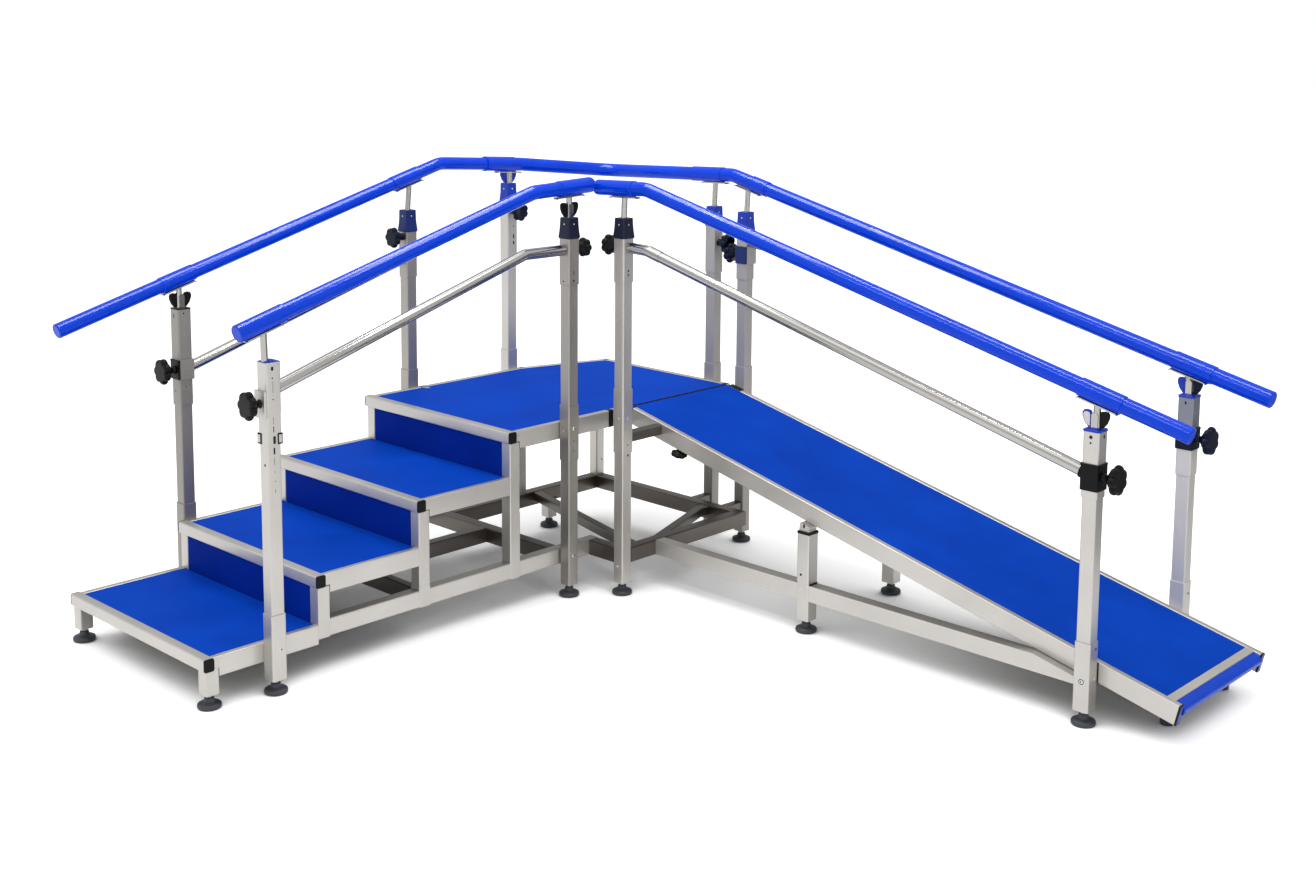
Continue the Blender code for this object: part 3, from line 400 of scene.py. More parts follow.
def roundedBar(bm, a, b, width, height, radius, lean=0.0, material=0, endRadius=0.0):
    """A square-cut bar with rounded long edges, its height as near upright as it can be."""
    a = Vector(a)
    b = Vector(b)
    length = (b - a).length
    along = (b - a).normalized()
    top = Vector((math.sin(lean), 0.0, math.cos(lean)))
    if abs(along.dot(top)) > 0.99:
        top = Vector((0.0, 1.0, 0.0))
    side = top.cross(along).normalized()
    part = newMesh()
    bmesh.ops.create_cube(part, size=1.0, matrix=Matrix.Diagonal((length, width, height, 1.0)))
    bevel(part, [e for e in part.edges if abs(e.verts[0].co.x - e.verts[1].co.x) > length / 2], radius, 3)
    if endRadius:
        rims = [e for e in part.edges if min(abs(v.co.x) for v in e.verts) > length / 2 - 1e-6]
        bevel(part, rims, endRadius, 2)
    shift = (length * 3.7, width * 7)
    alongGrain(part, 1, 2, lambda co, sideways: (co.x + shift[0], (co.z if sideways else co.y + 0.3) + shift[1]))
    join(bm, part, frameOf(along, side, along.cross(side), (a + b) / 2), material)


def picked(made, kind):
    return [g for g in made["geom"] if isinstance(g, kind)]


def raised(part, face, z, ratio=1.0):
    """Extrudes a level face up to a height, scaled about local Z."""
    made = bmesh.ops.extrude_face_region(part, geom=[face])
    for vert in picked(made, bmesh.types.BMVert):
        vert.co.x *= ratio
        vert.co.y *= ratio
        vert.co.z = z
    return picked(made, bmesh.types.BMFace)[0]


def squareStack(bm, spot, levels, corner, material=0):
    """Rounded squares of given half sizes stacked upright, as one skin."""
    part = newMesh()
    z, half = levels[0]
    bmesh.ops.create_grid(part, x_segments=1, y_segments=1, size=half, matrix=at(0, 0, z))
    bevel(part, list(part.verts), corner, 4, "VERTICES")
    top = max(part.faces, key=lambda f: f.calc_area())
    for z, nextHalf in levels[1:]:
        top = raised(part, top, z, nextHalf / half)
        half = nextHalf
    part.normal_update()
    alongGrain(part, 1, 0, lambda co, sideways: (co.z, co.x if sideways else co.y + 0.3))
    join(bm, part, at(*spot), material)


def sweep(bm, stations, sides):
    """Rings of given radii along a path that is never upright, as one closed skin."""
    part = newMesh()
    frames = []
    for centre, way, radius in stations:
        side = way.cross(up).normalized()
        frames.append(frameOf(side, side.cross(way), -way, centre))
    radii = [radius for centre, way, radius in stations]
    bmesh.ops.create_circle(part, cap_ends=True, segments=sides, radius=radii[0], matrix=frames[0])
    edges = list(part.edges)
    for k in range(1, len(frames)):
        made = bmesh.ops.extrude_edge_only(part, edges=edges)
        verts = picked(made, bmesh.types.BMVert)
        edges = [e for e in picked(made, bmesh.types.BMEdge) if all(v in verts for v in e.verts)]
        move = frames[k] @ Matrix.Scale(radii[k] / radii[k - 1], 4) @ frames[k - 1].inverted()
        bmesh.ops.transform(part, matrix=move, verts=verts)
    bmesh.ops.contextual_create(part, geom=edges)
    join(bm, part, Matrix.Identity(4))


def lathe(bm, place, profile, steps, material=0):
    """A profile of (radius, height) pairs turned about local Z."""
    part = newMesh()
    line = [part.verts.new((r, 0.0, z)) for r, z in profile]
    edges = [part.edges.new(pair) for pair in zip(line, line[1:])]
    turn = 2 * math.pi
    bmesh.ops.spin(part, geom=line + edges, axis=(0, 0, 1), steps=steps, angle=turn, use_merge=True)
    bmesh.ops.remove_doubles(part, verts=part.verts, dist=1e-6)
    join(bm, part, place, material)


def rod(bm, place, radius, z0, z1, steps, material=0):
    lathe(bm, place, [(0.0, z0), (radius, z0), (radius, z1), (0.0, z1)], steps, material)


def plateInto(bm, outline, z0, z1, place, material=0, edge=0.0):
    """A flat outline given thickness, with an optional bevel round its top edges."""
    part = newMesh()
    raised(part, part.faces.new([part.verts.new((x, y, z0)) for x, y in outline]), z1)
    if edge:
        bevel(part, [e for e in part.edges if all(abs(v.co.z - z1) < 1e-7 for v in e.verts)], edge, 2)
    join(bm, part, place, material)


def domeProfile(radius, height):
    """A low dome that starts a little inside the face it sits on."""
    turns = [math.pi / 2 * k / 5 for k in range(6)]
    return [(0.0, -0.001), (radius, -0.001)] + [(radius * math.cos(t), height * math.sin(t)) for t in turns]


# Steel frames, each rebuilt as rounded tubes on the CAD part's lines
cornerR = {"post": 0.0038, "socket": 0.0046, "rim": 0.0030, "nose": 0.0040, "base": 0.0038, "brace": 0.0028}
socketEnd = 0.0009


def tube(bm, spot, z0, z1, size=postSize, corner="post", material=0, endRadius=0.0):
    """An upright square tube."""
    roundedBar(bm, (*spot, z0), (*spot, z1), size, size, cornerR[corner], 0.0, material, endRadius)


def post(bm, n, sockets, z0=footH, material=0):
    """A post that ends inside its sliding sleeve, with outer sockets whose ends are softly broken."""
    tube(bm, posts[n], z0, postRows[n][2] + 0.1, material=material)
    for s0, s1 in sockets:
        tube(bm, posts[n], s0, s1, socketSize, "socket", material, socketEnd)


def crossBar(bm, a, b, z, width, height):
    """A level cross member in the second material, a steel painted darker as painted shade."""
    roundedBar(bm, (*a, z), (*b, z), width, height, cornerR["brace"], material=1)


def rimRails(bm, k, nearEnd, farEnd):
    """The nosing tube and the two side rails of one level."""
    y = stepY(k) + noseD / 2
    z = stepZ(k) - noseH / 2
    roundedBar(bm, (stairFarX, y, z), (stairNearX, y, z), noseD, noseH, cornerR["nose"])
    start = stepY(k) + legIn + postSize + gap
    railZ = stepZ(k) - 0.0005 - rimH / 2
    headZ = stepZ(k) - 0.0005 - (noseH - 0.001) / 2
    for x, end in ((nearRimX, nearEnd), (farRimX, farEnd)):
        roundedBar(bm, (x, start, railZ), (x, end, railZ), rimW, rimH, cornerR["rim"])
        head = (rimW - 0.0006, noseH - 0.0016, cornerR["rim"])
        roundedBar(bm, (x, y, headZ), (x, start + 0.02, headZ), *head)


def steelPiece(name, bm, materials, node):
    finish(name, bm, materials, "base", "steel", node)


for k in (1, 2, 3):
    bm = newMesh()
    endY = stepY(k + 1) + legIn - gap
    rimRails(bm, k, endY, endY)
    crossY = endY - 0.030
    crossBar(bm, (farRimX, crossY), (nearRimX, crossY), stepZ(k) - 0.0385, 0.030, 0.026)
    if k == 1:
        for x in (nearLegX, farLegX):
            tube(bm, (x, legY(1)), footH, stepZ(1) - 0.030)
        post(bm, 2, [(footH + 0.001, 0.221)])
    steelPiece(f"stepFrame{k}", bm, [brushedSteel, steelPaintedUnderShade], f"step_frame_{k}")

bm = newMesh()
rimRails(bm, 4, seamNearY - gap, seamFarY - gap)
crossBar(bm, (farRimX, -0.200), (nearRimX, -0.200), deckZ - 0.040, 0.030, 0.026)
post(bm, 3, [(deckZ - 0.054, 0.621)], deckZ - rimH, 2)
steelPiece("platformFrame", bm, [brushedSteel, steelPaintedUnderShade, steelPaintedShade], "platform_frame")

bm = newMesh()
topY = rampFarY - rimHalf
rimZ = deckZ - 0.0005 - rimH / 2
rimPath = [
    (farRimX, seamFarY + gap),
    (farRimX, chamferFarY),
    (chamferTopX, topY),
    (nearRimX, topY),
    (nearRimX, seamNearY + gap),
]
for k, (a, b) in enumerate(zip(rimPath, rimPath[1:])):
    lap = (Vector(b) - Vector(a)).normalized() * rimHalf * 0.85
    start = Vector(a) - (lap if k else lap * 0)
    stop = Vector(b) + (lap if k < 3 else lap * 0)
    roundedBar(bm, (*start, rimZ), (*stop, rimZ), rimW, rimH, cornerR["rim"])
cornerLegX = -0.690
cornerLegsY = (0.175, 0.560)
beamZ = deckZ - 0.0395
crossBar(bm, (farRimX, seamFarY + 0.030), (nearRimX, seamNearY + 0.030), beamZ, 0.026, 0.030)
crossBar(bm, (farRimX, cornerLegsY[0]), (nearRimX, cornerLegsY[0]), beamZ, 0.026, 0.030)
crossBar(bm, (-0.763, cornerLegsY[1]), (nearRimX, cornerLegsY[1]), beamZ, 0.026, 0.030)
post(bm, 4, [(deckZ - 0.054, 0.629)], deckZ - rimH)
post(bm, 7, [(deckZ - 0.054, 0.617), (0.255, 0.275)], footH, 2)
steelPiece("cornerFrame", bm, [brushedSteel, steelPaintedUnderShade, dullSteel], "corner_frame")


def baseRail(bm, a, b, order, width=baseW, material=1):
    """A floor rail; each one that meets another is a hair lower than it."""
    height = baseH - 0.0006 * order
    roundedBar(bm, (*a, baseZ), (*b, baseZ), width, height, cornerR["base"], material=material)


bm = newMesh()
crossY = -0.149
nearBaseX = nearLegX - 0.0005
farBaseX = farLegX + 0.0005
railStart = stepY(2) + legIn + 0.0005
midCrossY = stepY(3) + 0.026
baseRail(bm, (nearBaseX, railStart), (nearBaseX, 0.0205), 0, baseW - 0.002, 0)
baseRail(bm, (farBaseX, railStart), (farBaseX, crossY), 0, baseW - 0.002, 0)
baseRail(bm, (farBaseX - 0.018, crossY), (nearBaseX, crossY), 1)
baseRail(bm, (-0.480, midCrossY), (-0.480, crossY), 3)
baseRail(bm, (farBaseX, midCrossY), (nearBaseX, midCrossY), 2, 0.030)
low = baseTop - baseH - 0.0005
for k, joint in ((2, 0.0), (3, 0.160), (4, 0.303)):
    for x in (nearLegX, farLegX):
        if joint:
            tube(bm, (x, legY(k)), low + 0.001, joint, postSize + 0.0016, endRadius=0.0004)
        tube(bm, (x, legY(k)), low, stepZ(k) - noseH - gap)
postLow = baseTop - baseH + 0.001
post(bm, 1, [(postLow + 0.001, 0.329)], postLow, 2)
steelPiece("stairBase", bm, [brushedSteel, steelPaintedUnderShade, steelPaintedDeepShade], "stair_base")

bm = newMesh()
backY = cornerLegsY[1]
baseRail(bm, (cornerLegX, crossY + baseW / 2 + gap), (cornerLegX, backY), 0)
baseRail(bm, (cornerLegX - 0.019, backY), (0.019, backY), 1)
baseRail(bm, (0.0, postHalf + gap), (0.0, backY), 2)
baseRail(bm, (nearBaseX + baseW / 2 - 0.001 + gap, 0.0), (-postHalf - gap, 0.0), 1)
braces = [
    ((-0.010, 0.170), (-0.130, 0.500)),
    ((-0.130, 0.490), (-0.130, backY)),
    ((-0.005, 0.066), (cornerLegX, 0.250)),
    ((-0.070, -0.004), (0.004, 0.070)),
]
for order, (a, b) in enumerate(braces):
    size = 0.030 + 0.0004 * order
    crossBar(bm, a, b, baseTop - 0.003 - 0.015, size, size)
for y in cornerLegsY:
    tube(bm, (cornerLegX, y), baseTop - 0.010, beamZ - 0.015 - gap, postSize - 0.001)
cornerFoot = (cornerLegX, 0.320)
tube(bm, cornerFoot, footH, baseTop - baseH + 0.010)
for n in (7, 8):
    x, y = posts[n]
    crossBar(bm, (x, backY), (x, y - postHalf - gap), baseZ, 0.030, 0.040)
steelPiece("cornerBase", bm, [brushedSteel, steelPaintedUnderShade], "corner_base")

loosePosts = {
    5: ("innerPost5", [steelPaintedShade], [(0.440, 0.615)]),
    6: ("innerPost6", [brushedSteel, shadeSteel], [(0.460, 0.662)]),
    8: ("rampPost8", [dullSteel], [(0.455, 0.624), (0.250, 0.272)]),
    9: ("rampPost9", [brushedSteel], [(footH + 0.001, 0.224)]),
    10: ("rampPost10", [steelPaintedLight], [(footH + 0.001, 0.250)]),
}
for n, (name, materials, sockets) in loosePosts.items():
    bm = newMesh()
    post(bm, n, sockets)
    if n == 6:
        crossBar(bm, (0.0, 0.0), (0.0, rampNearY - gap), 0.506, 0.036, 0.030)
    steelPiece(name, bm, materials, f"post_{n}")

bm = newMesh()
barX = rampEndX - 0.052
endFootX = 1.700
rampRimY = (rampNearY + rimHalf, rampFarY - rimHalf)
for y in rampRimY:
    ends = [rampPoint(x, y, rimH / 2) for x in (stairNearX + 0.014, rampEndX)]
    roundedBar(bm, *ends, rimW, rimH, cornerR["rim"])
for x in (-0.060, 0.520, 1.120, endFootX):
    ends = [rampPoint(x, y, 0.038) for y in rampRimY]
    roundedBar(bm, *ends, 0.030, 0.030, cornerR["brace"], rampSlope, 1)
ends = [rampPoint(barX + 0.0195, y, 0.010) for y in rampRimY]
roundedBar(bm, *ends, 0.025, 0.019, 0.0015, rampSlope)
steelPiece("rampFrame", bm, [brushedSteel, steelPaintedUnderShade], "ramp_frame")

midLegs = {"near": (0.6225, rampNearY - 0.008), "far": (0.606, rampFarY - 0.054)}
midLegTop = 0.305
midInner = 0.036
reach = midInner / 2
under = rimH + gap
for name, plateStop in (("near", rampNearY + 0.018), ("far", rampFarY - 0.006)):
    x, y = midLegs[name]
    bm = newMesh()
    if name == "far":
        tube(bm, (x, y), footH, midLegTop, socketSize, "socket", 0, socketEnd)
    tube(bm, (x, y), footH + 0.040, underZ(x, under + 0.012) - 0.002, midInner, "brace")
    ends = [(end, y, underZ(end, under + 0.010)) for end in (x - reach + 0.0005, x + reach - 0.0005)]
    roundedBar(bm, *ends, midInner - 0.001, 0.020, 0.001)
    midY = (y - reach + plateStop) / 2
    ends = [(end, midY, underZ(end, under + 0.003)) for end in (x - reach, x + reach)]
    roundedBar(bm, *ends, plateStop - y + reach, 0.006, 0.001)
    steelPiece(f"rampLeg{name.title()}", bm, [brushedSteel], f"ramp_leg_{name}")

bm = newMesh()
railStart = baseW / 2 + gap
railStop = posts[9][0] - socketHalf - gap
low = baseZ - baseH / 2 + 0.0009
high = baseZ + baseH / 2 - 0.0009
meet = (underZ(0.0, rimH) - 0.001 - high) / math.tan(rampSlope)
tip = (railStop, underZ(railStop, rimH) - 0.001)
outline = [(railStart, low), (railStop, low), tip, (meet, high), (railStart, high)]
plateInto(bm, outline, -baseW / 2, baseW / 2, frontFrame(0.0, midLegs["near"][1]))
tube(bm, midLegs["near"], footH, midLegTop, socketSize, "socket", 0, socketEnd)
steelPiece("rampFloorRail", bm, [brushedSteel], "ramp_floor_rail")
print("steel frames ready")

# Boards
boardGap = 0.0005
boardThick = 0.018
boardEdge = 0.0008
seam = 0.0004


def boardPiece(name, node, bm, material, slot):
    """Gives the faces that look down the plywood, and finishes the board."""
    bm.normal_update()
    for face in bm.faces:
        if face.normal.z < -0.5:
            face.material_index = 1
    finish(name, bm, [material, plywood], "base", slot, node, angle=30.0)


def levelBoard(name, node, outline, z, thick=boardThick, material=boardVinyl, slot="board"):
    bm = newMesh()
    plateInto(bm, outline, z - thick, z, Matrix.Identity(4), 0, boardEdge)
    boardPiece(name, node, bm, material, slot)


x0 = farRimX + rimHalf + boardGap
x1 = nearRimX - rimHalf - boardGap
r0 = stairFarX + postSize + gap
r1 = stairNearX - postSize - gap
for k in (1, 2, 3):
    y0 = stepY(k) + noseD + boardGap
    y1 = stepY(k + 1) + legIn - gap - 0.001
    outline = [(x0, y0), (x1, y0), (x1, y1), (x0, y1)]
    levelBoard(f"tread{k}", f"tread_{k}", outline, stepZ(k) - boardDrop)
    y0 = stepY(k + 1) + 0.007
    y1 = y0 + 0.012
    top = stepZ(k + 1) - noseH - gap
    thick = top - (stepZ(k) - 0.020)
    outline = [(r0, y0), (r1, y0), (r1, y1), (r0, y1)]
    levelBoard(f"riser{k}", f"riser_{k}", outline, top, thick, riserVinyl, "riser")
y0 = stepY(4) + noseD + boardGap
outline = [(x0, y0), (x1, y0), (x1, seamNearY - seam), (x0, seamFarY - seam)]
levelBoard("platformBoard", "platform_board", outline, deckZ - boardDrop)
slope = Vector((chamferTopX - farRimX, topY - chamferFarY))
normal = Vector((slope.y, -slope.x)).normalized()
cut = Vector((farRimX, chamferFarY)) + normal * (rimHalf + boardGap)
edgeY = rampFarY - rimW - 0.0005 - boardGap
outline = [
    (x0, seamFarY + seam),
    (x1, seamNearY + seam),
    (x1, edgeY),
    (cut.x + slope.x * (edgeY - cut.y) / slope.y, edgeY),
    (x0, cut.y + slope.y * (x0 - cut.x) / slope.x),
]
levelBoard("cornerBoard", "corner_board", outline, deckZ - boardDrop)
rampMidY = (rampNearY + rampFarY) / 2
rampWidth = rampFarY - rampNearY - 2 * rimW - 2 * boardGap
bm = newMesh()
ends = [rampPoint(x, rampMidY, boardDrop + boardThick / 2) for x in (stairNearX + 0.006, barX + 0.0065)]
roundedBar(bm, *ends, rampWidth, boardThick, boardEdge)
boardPiece("rampBoard", "ramp_board", bm, boardVinyl, "board")
bm = newMesh()
top = rampPoint(barX + 0.0325, 0.0, 0.002)
tip = rampPoint(rampEndX + 0.002, 0.0, 0.008)
nose = [(-10, 5.2), (-2, 1), (2.8, -4), (3.6, -10), (1, -17), (-4, -22)]
outline = [(tip.x + x * 0.001, tip.z + z * 0.001) for x, z in nose]
outline = [(top.x, top.z), *outline, (top.x - 0.004, top.z - 0.017)]
plateInto(bm, outline, -rampWidth / 2, rampWidth / 2, frontFrame(0.0, rampMidY))
finish("rampLip", bm, [lipVinyl], "base", "lip", "ramp_lip", angle=50.0)
print("boards ready")


# Handrails
def smoothPath(points, radius, steps):
    """Places along a line of corners that are rounded to arcs."""
    points = [Vector(p) for p in points]
    places = [points[0]]
    for before, here, after in zip(points, points[1:], points[2:]):
        into = (here - before).normalized()
        out = (after - here).normalized()
        cutback = radius * math.tan(into.angle(out) / 2)
        start = here - into * cutback
        end = here + out * cutback
        for k in range(steps + 1):
            t = k / steps
            places.append((1 - t) ** 2 * start + 2 * t * (1 - t) * here + t ** 2 * end)
    places.append(points[-1])
    return places


def lengthsOf(places):
    out = [0.0]
    for a, b in zip(places, places[1:]):
        out.append(out[-1] + (b - a).length)
    return out


def stationsOf(places, radiusAt, marks=()):
    """Splits a path at marks along its length and gives each place its direction and radius."""
    lengths = lengthsOf(places)
    ways = [(b - a).normalized() for a, b in zip(places, places[1:])]
    stops = {round(v, 6) for v in lengths} | {round(m, 6) for m in marks if 0 < m < lengths[-1]}
    out = []
    for stop in sorted(stops):
        k = 0
        while k < len(lengths) - 2 and lengths[k + 1] < stop - 1e-7:
            k += 1
        share = (stop - lengths[k]) / (lengths[k + 1] - lengths[k])
        way = ways[k]
        if share < 0.001 and k > 0:
            way = (ways[k - 1] + ways[k]).normalized()
        elif share > 0.999 and k + 2 < len(places):
            way = (ways[k] + ways[k + 1]).normalized()
        out.append((places[k].lerp(places[k + 1], share), way.normalized(), radiusAt(stop)))
    return out


gripValues = {"bend": 0.110, "step": 0.0004, "endRound": 0.004, "dome": 0.013, "sides": 40}


def grip(name, node, body, axis, corners, sleeves, radius, startRound, endRound):
    """A covered handrail tube with thicker joint sleeves and rounded end plugs."""
    places = smoothPath(corners, gripValues["bend"], 12)
    lengths = lengthsOf(places)
    total = lengths[-1]

    def along(point):
        """How far along the path the place nearest to a point lies."""
        found = []
        for k, (a, b) in enumerate(zip(places, places[1:])):
            way = b - a
            t = max(0.0, min(1.0, (point - a).dot(way) / way.length_squared))
            found.append(((point - (a + way * t)).length, lengths[k] + way.length * t))
        return min(found)[1]

    soft = gripValues["step"]
    spans = []
    marks = []
    for k, *values in sleeves:
        ends = corners[k:k + 2]
        ends = [end if value is None else onLine(*ends, axis, value) for end, value in zip(ends, values)]
        a, b = sorted(along(Vector(end)) for end in ends)
        spans.append((a, b))
        marks += [a - soft * 0.5, a + soft * 1.5, b - soft * 1.5, b + soft * 0.5]
    for k in range(7):
        share = 1 - math.cos(k / 6 * math.pi / 2)
        marks += [startRound * share + 1e-5, total - endRound * share - 1e-5]

    def radiusAt(stop):
        value = radius
        for a, b in spans:
            if (a + soft < stop or a < 0.001) and (stop < b - soft or b > total - 0.001):
                value = radius + sleeveOver
        for edge, bend in ((stop, startRound), (total - stop, endRound)):
            if edge < bend:
                value -= bend * (1 - math.sqrt(max(0.0, 1 - (1 - edge / bend) ** 2)))
        return value

    bm = newMesh()
    sweep(bm, stationsOf(places, radiusAt, marks), gripValues["sides"])
    finish(name, bm, [gripBlue], body, "grip", node)


x2 = posts[2][0]
y8 = posts[8][1]
lfEnd = (x2, -1.301, 0.988)
lfBend = (x2, -0.275, 1.288)
lfStop = (x2, -0.030, 1.298)
rfStart = (-0.122, 0.0, 1.287)
rfBend = (0.090, 0.004, 1.294)
rfEnd = (1.790, 0.161, 0.800)
lrEnd = (farPostX, -1.413, 0.909)
lrBend = (farPostX, -0.020, 1.318)
rcTurn1 = (farPostX, 0.340, 1.297)
lrStop = tuple(onLine(lrBend, rcTurn1, 1, 0.180))
rcTurn2 = (-0.745, y8, 1.2645)
rrBend = (-0.148, y8, 1.284)
rcStop = tuple(onLine(rcTurn2, rrBend, 0, -0.330))
rrEnd = (1.769, y8, 0.803)
square, blunt, domed = gripValues["step"], gripValues["endRound"], gripValues["dome"]
# Axis, corners, sleeves (stretch, from, to on the axis), radius and the rounding of both ends
gripRows = {
    "front_stairs": (
        "front_stair_rail", 1, [lfEnd, lfBend, lfStop],
        [(0, None, -1.160), (1, -0.175, None)], railR, blunt, domed,
    ),
    "front_ramp": (
        "front_ramp_rail", 0, [rfStart, rfBend, rfEnd],
        [(0, None, 0.044), (1, 1.500, 1.615)], railR, domed, blunt,
    ),
    "rear_stairs": (
        "rear_rail", 1, [lrEnd, lrBend, lrStop],
        [(0, -1.083, -0.975), (0, -0.225, -0.115)], railR, blunt, square,
    ),
    "rear_corner": (
        "rear_rail", 1, [lrStop, rcTurn1, rcTurn2, rcStop],
        [(0, None, 0.315)], rearRailR, square, square,
    ),
    "rear_ramp": (
        "rear_rail", 0, [rcStop, rrBend, rrEnd],
        [(0, None, -0.190), (1, -0.060, 0.010), (1, 1.488, 1.603)], rearRailR, square, blunt,
    ),
}
for name, row in gripRows.items():
    grip(camel("grip_" + name), "handrail_" + name, *row)
print("grips ready")

# Lower rails
stairCorners = [(x2, posts[2][1] + 0.010, 0.828), (x2, -0.311, 1.103), (posts[5][0], posts[5][1] - 0.010, 1.103)]
rampCorners = [(0.010, 0.0, 1.110), (0.100, 0.004, 1.106), (posts[9][0] - 0.010, posts[9][1], 0.662)]
rearStairCorners = [(farPostX, posts[1][1] + 0.010, 0.742), (farPostX, posts[3][1] - 0.010, 1.005)]
rearRampCorners = [(posts[8][0] + 0.010, y8, 1.060), (0.000, y8, 1.050), (posts[10][0] - 0.010, y8, 0.668)]
lowerRails = {
    "lower_rail_front_stairs": (stairCorners, "front_stair_rail"),
    "lower_rail_front_ramp": (rampCorners, "front_ramp_rail"),
    "lower_rail_rear_stairs": (rearStairCorners, "rear_rail"),
    "lower_rail_rear_ramp": (rearRampCorners, "rear_rail"),
}
for node, (corners, body) in lowerRails.items():
    bm = newMesh()
    sweep(bm, stationsOf(smoothPath(corners, 0.060, 10), lambda stop: midR), 32)
    if corners is rampCorners:
        start, stop, ring = (onLine(*corners[1:], 0, value) for value in (0.104, 0.150, posts[9][0] - 0.034))
        way = stop - start
        rod(bm, zFrame(start, way), midR + 0.0012, 0.0, way.length, 32)
        rod(bm, zFrame(ring, way), midR + 0.003, 0.0, 0.007, 32, 1)
    finish(camel(node), bm, [polishedSteel, moulded], body, "steel", node)

# Sliding heads: sleeve, cap or boot, fork, rod and saddle on each post
railSpans = {
    1: (lrEnd, lrBend), 2: (lfEnd, lfBend), 3: (lrEnd, lrBend), 4: (lrStop, rcTurn1), 5: (lfBend, lfStop),
    6: (rfStart, rfBend), 7: (rcStop, rrBend), 8: (rrBend, rrEnd), 9: (rfBend, rfEnd), 10: (rrBend, rrEnd),
}
headValues = {
    "saddleLength": 0.106, "saddleWidth": 0.022, "saddleThick": 0.0045, "rodRadius": 0.0095,
    "forkWide": 0.018, "forkTall": 0.044, "earThick": 0.008,
}
boots = {
    3: (bootNavy, 0.071), 4: (capBlue, 0.071), 5: (bootDark, 0.062),
    6: (bootDark, 0.060), 7: (capBlue, 0.066), 8: (capBlue, 0.066),
}
bootLevels = [
    (-3.0, 23.8), (-1.8, 24.9), (2.0, 25.5), (5.0, 25.1), (12.0, 24.3), (24.0, 23.0), (40.0, 21.9),
]
ears = {
    1: (moulded, moulded), 4: (capBlue, capBlue), 5: (moulded, moulded),
    9: (capBlue, moulded), 10: (capBlue, knobNavy),
}
steelEar = 9
postSteel = {1: steelPaintedDeepShade, 3: steelPaintedShade, 5: steelPaintedShade, 7: dullSteel, 8: dullSteel, 10: steelPaintedLight}
earOutline = [
    (0.0105, 0.001), (0.020, 0.002), (0.030, 0.014), (0.0355, 0.028), (0.0360, 0.038),
    (0.0320, 0.0445), (0.0230, 0.0460), (0.0140, 0.0440), (0.0105, 0.0360),
]
# How far a rod's foot and head stand from the post's middle: foot, head along the rail
rodShift = {
    1: ((0.0, -0.004, 0.0), -0.012),
    2: ((0.0, -0.0115, 0.0), -0.022),
    8: ((0.004, 0.0, 0.0), 0.016),
    9: ((0.003, 0.0, 0.0), 0.010),
}


def saddle(bm, n, centre, way, shift):
    """The thin plate under the grip, its ends turned down a little; gives its middle."""
    over = way.cross(up).normalized().cross(way)
    sleeveR = sleeveOver + (rearRailR if n in (4, 7, 8, 10) else railR)
    width, thick = headValues["saddleWidth"], headValues["saddleThick"]
    middle = centre - over * (sleeveR + gap + thick / 2) + way * shift
    reach = headValues["saddleLength"] / 2
    roundedBar(bm, middle - way * reach, middle + way * reach, width, thick, 0.0012)
    for sign in (-1, 1):
        end = middle + way * sign * reach
        roundedBar(bm, end, end + way * sign * 0.004 - over * 0.003, width, 0.003, 0.001)
    return middle


def fork(bm, along, across, root):
    """Two thin steel cheeks beside the rod."""
    wide, tall = headValues["forkWide"] / 2, headValues["forkTall"]
    outline = [(-wide, 0.0), (wide, 0.0), (wide, tall - 0.006), (wide - 0.004, tall), (0.004 - wide, tall),
               (-wide, tall - 0.006)]
    for sign in (-1, 1):
        place = frameOf(along, up, across, root + across * sign * 0.0088)
        plateInto(bm, outline, -0.0015, 0.0015, place, 0, 0.0005)


def earPair(n, place, body):
    """Two moulded wings beside the fork, spread along the rail, each on its own half."""
    thick = headValues["earThick"] / 2
    for sign, material, label in ((-1, ears[n][0], "A"), (1, ears[n][1], "B")):
        bm = newMesh()
        plateInto(bm, [(sign * x, y) for x, y in earOutline], -thick, thick, place, 0, 0.0022)
        if n == steelEar and sign < 0:
            inner = [(-0.0225 - (x - 0.0225) * 0.72, 0.024 + (y - 0.024) * 0.80) for x, y in earOutline]
            plateInto(bm, inner, thick - 0.0005, thick + 0.0010, place, 1, 0.0004)
        finish(f"ear{n}{label}", bm, [material, brushedSteel], body, "knob")


def skin(z0, z1, half, outer, step):
    """Levels of a sleeve whose two ends are drawn in a little."""
    return [(z0, half), (z0 + step, outer), (z1 - step, outer), (z1, half)]


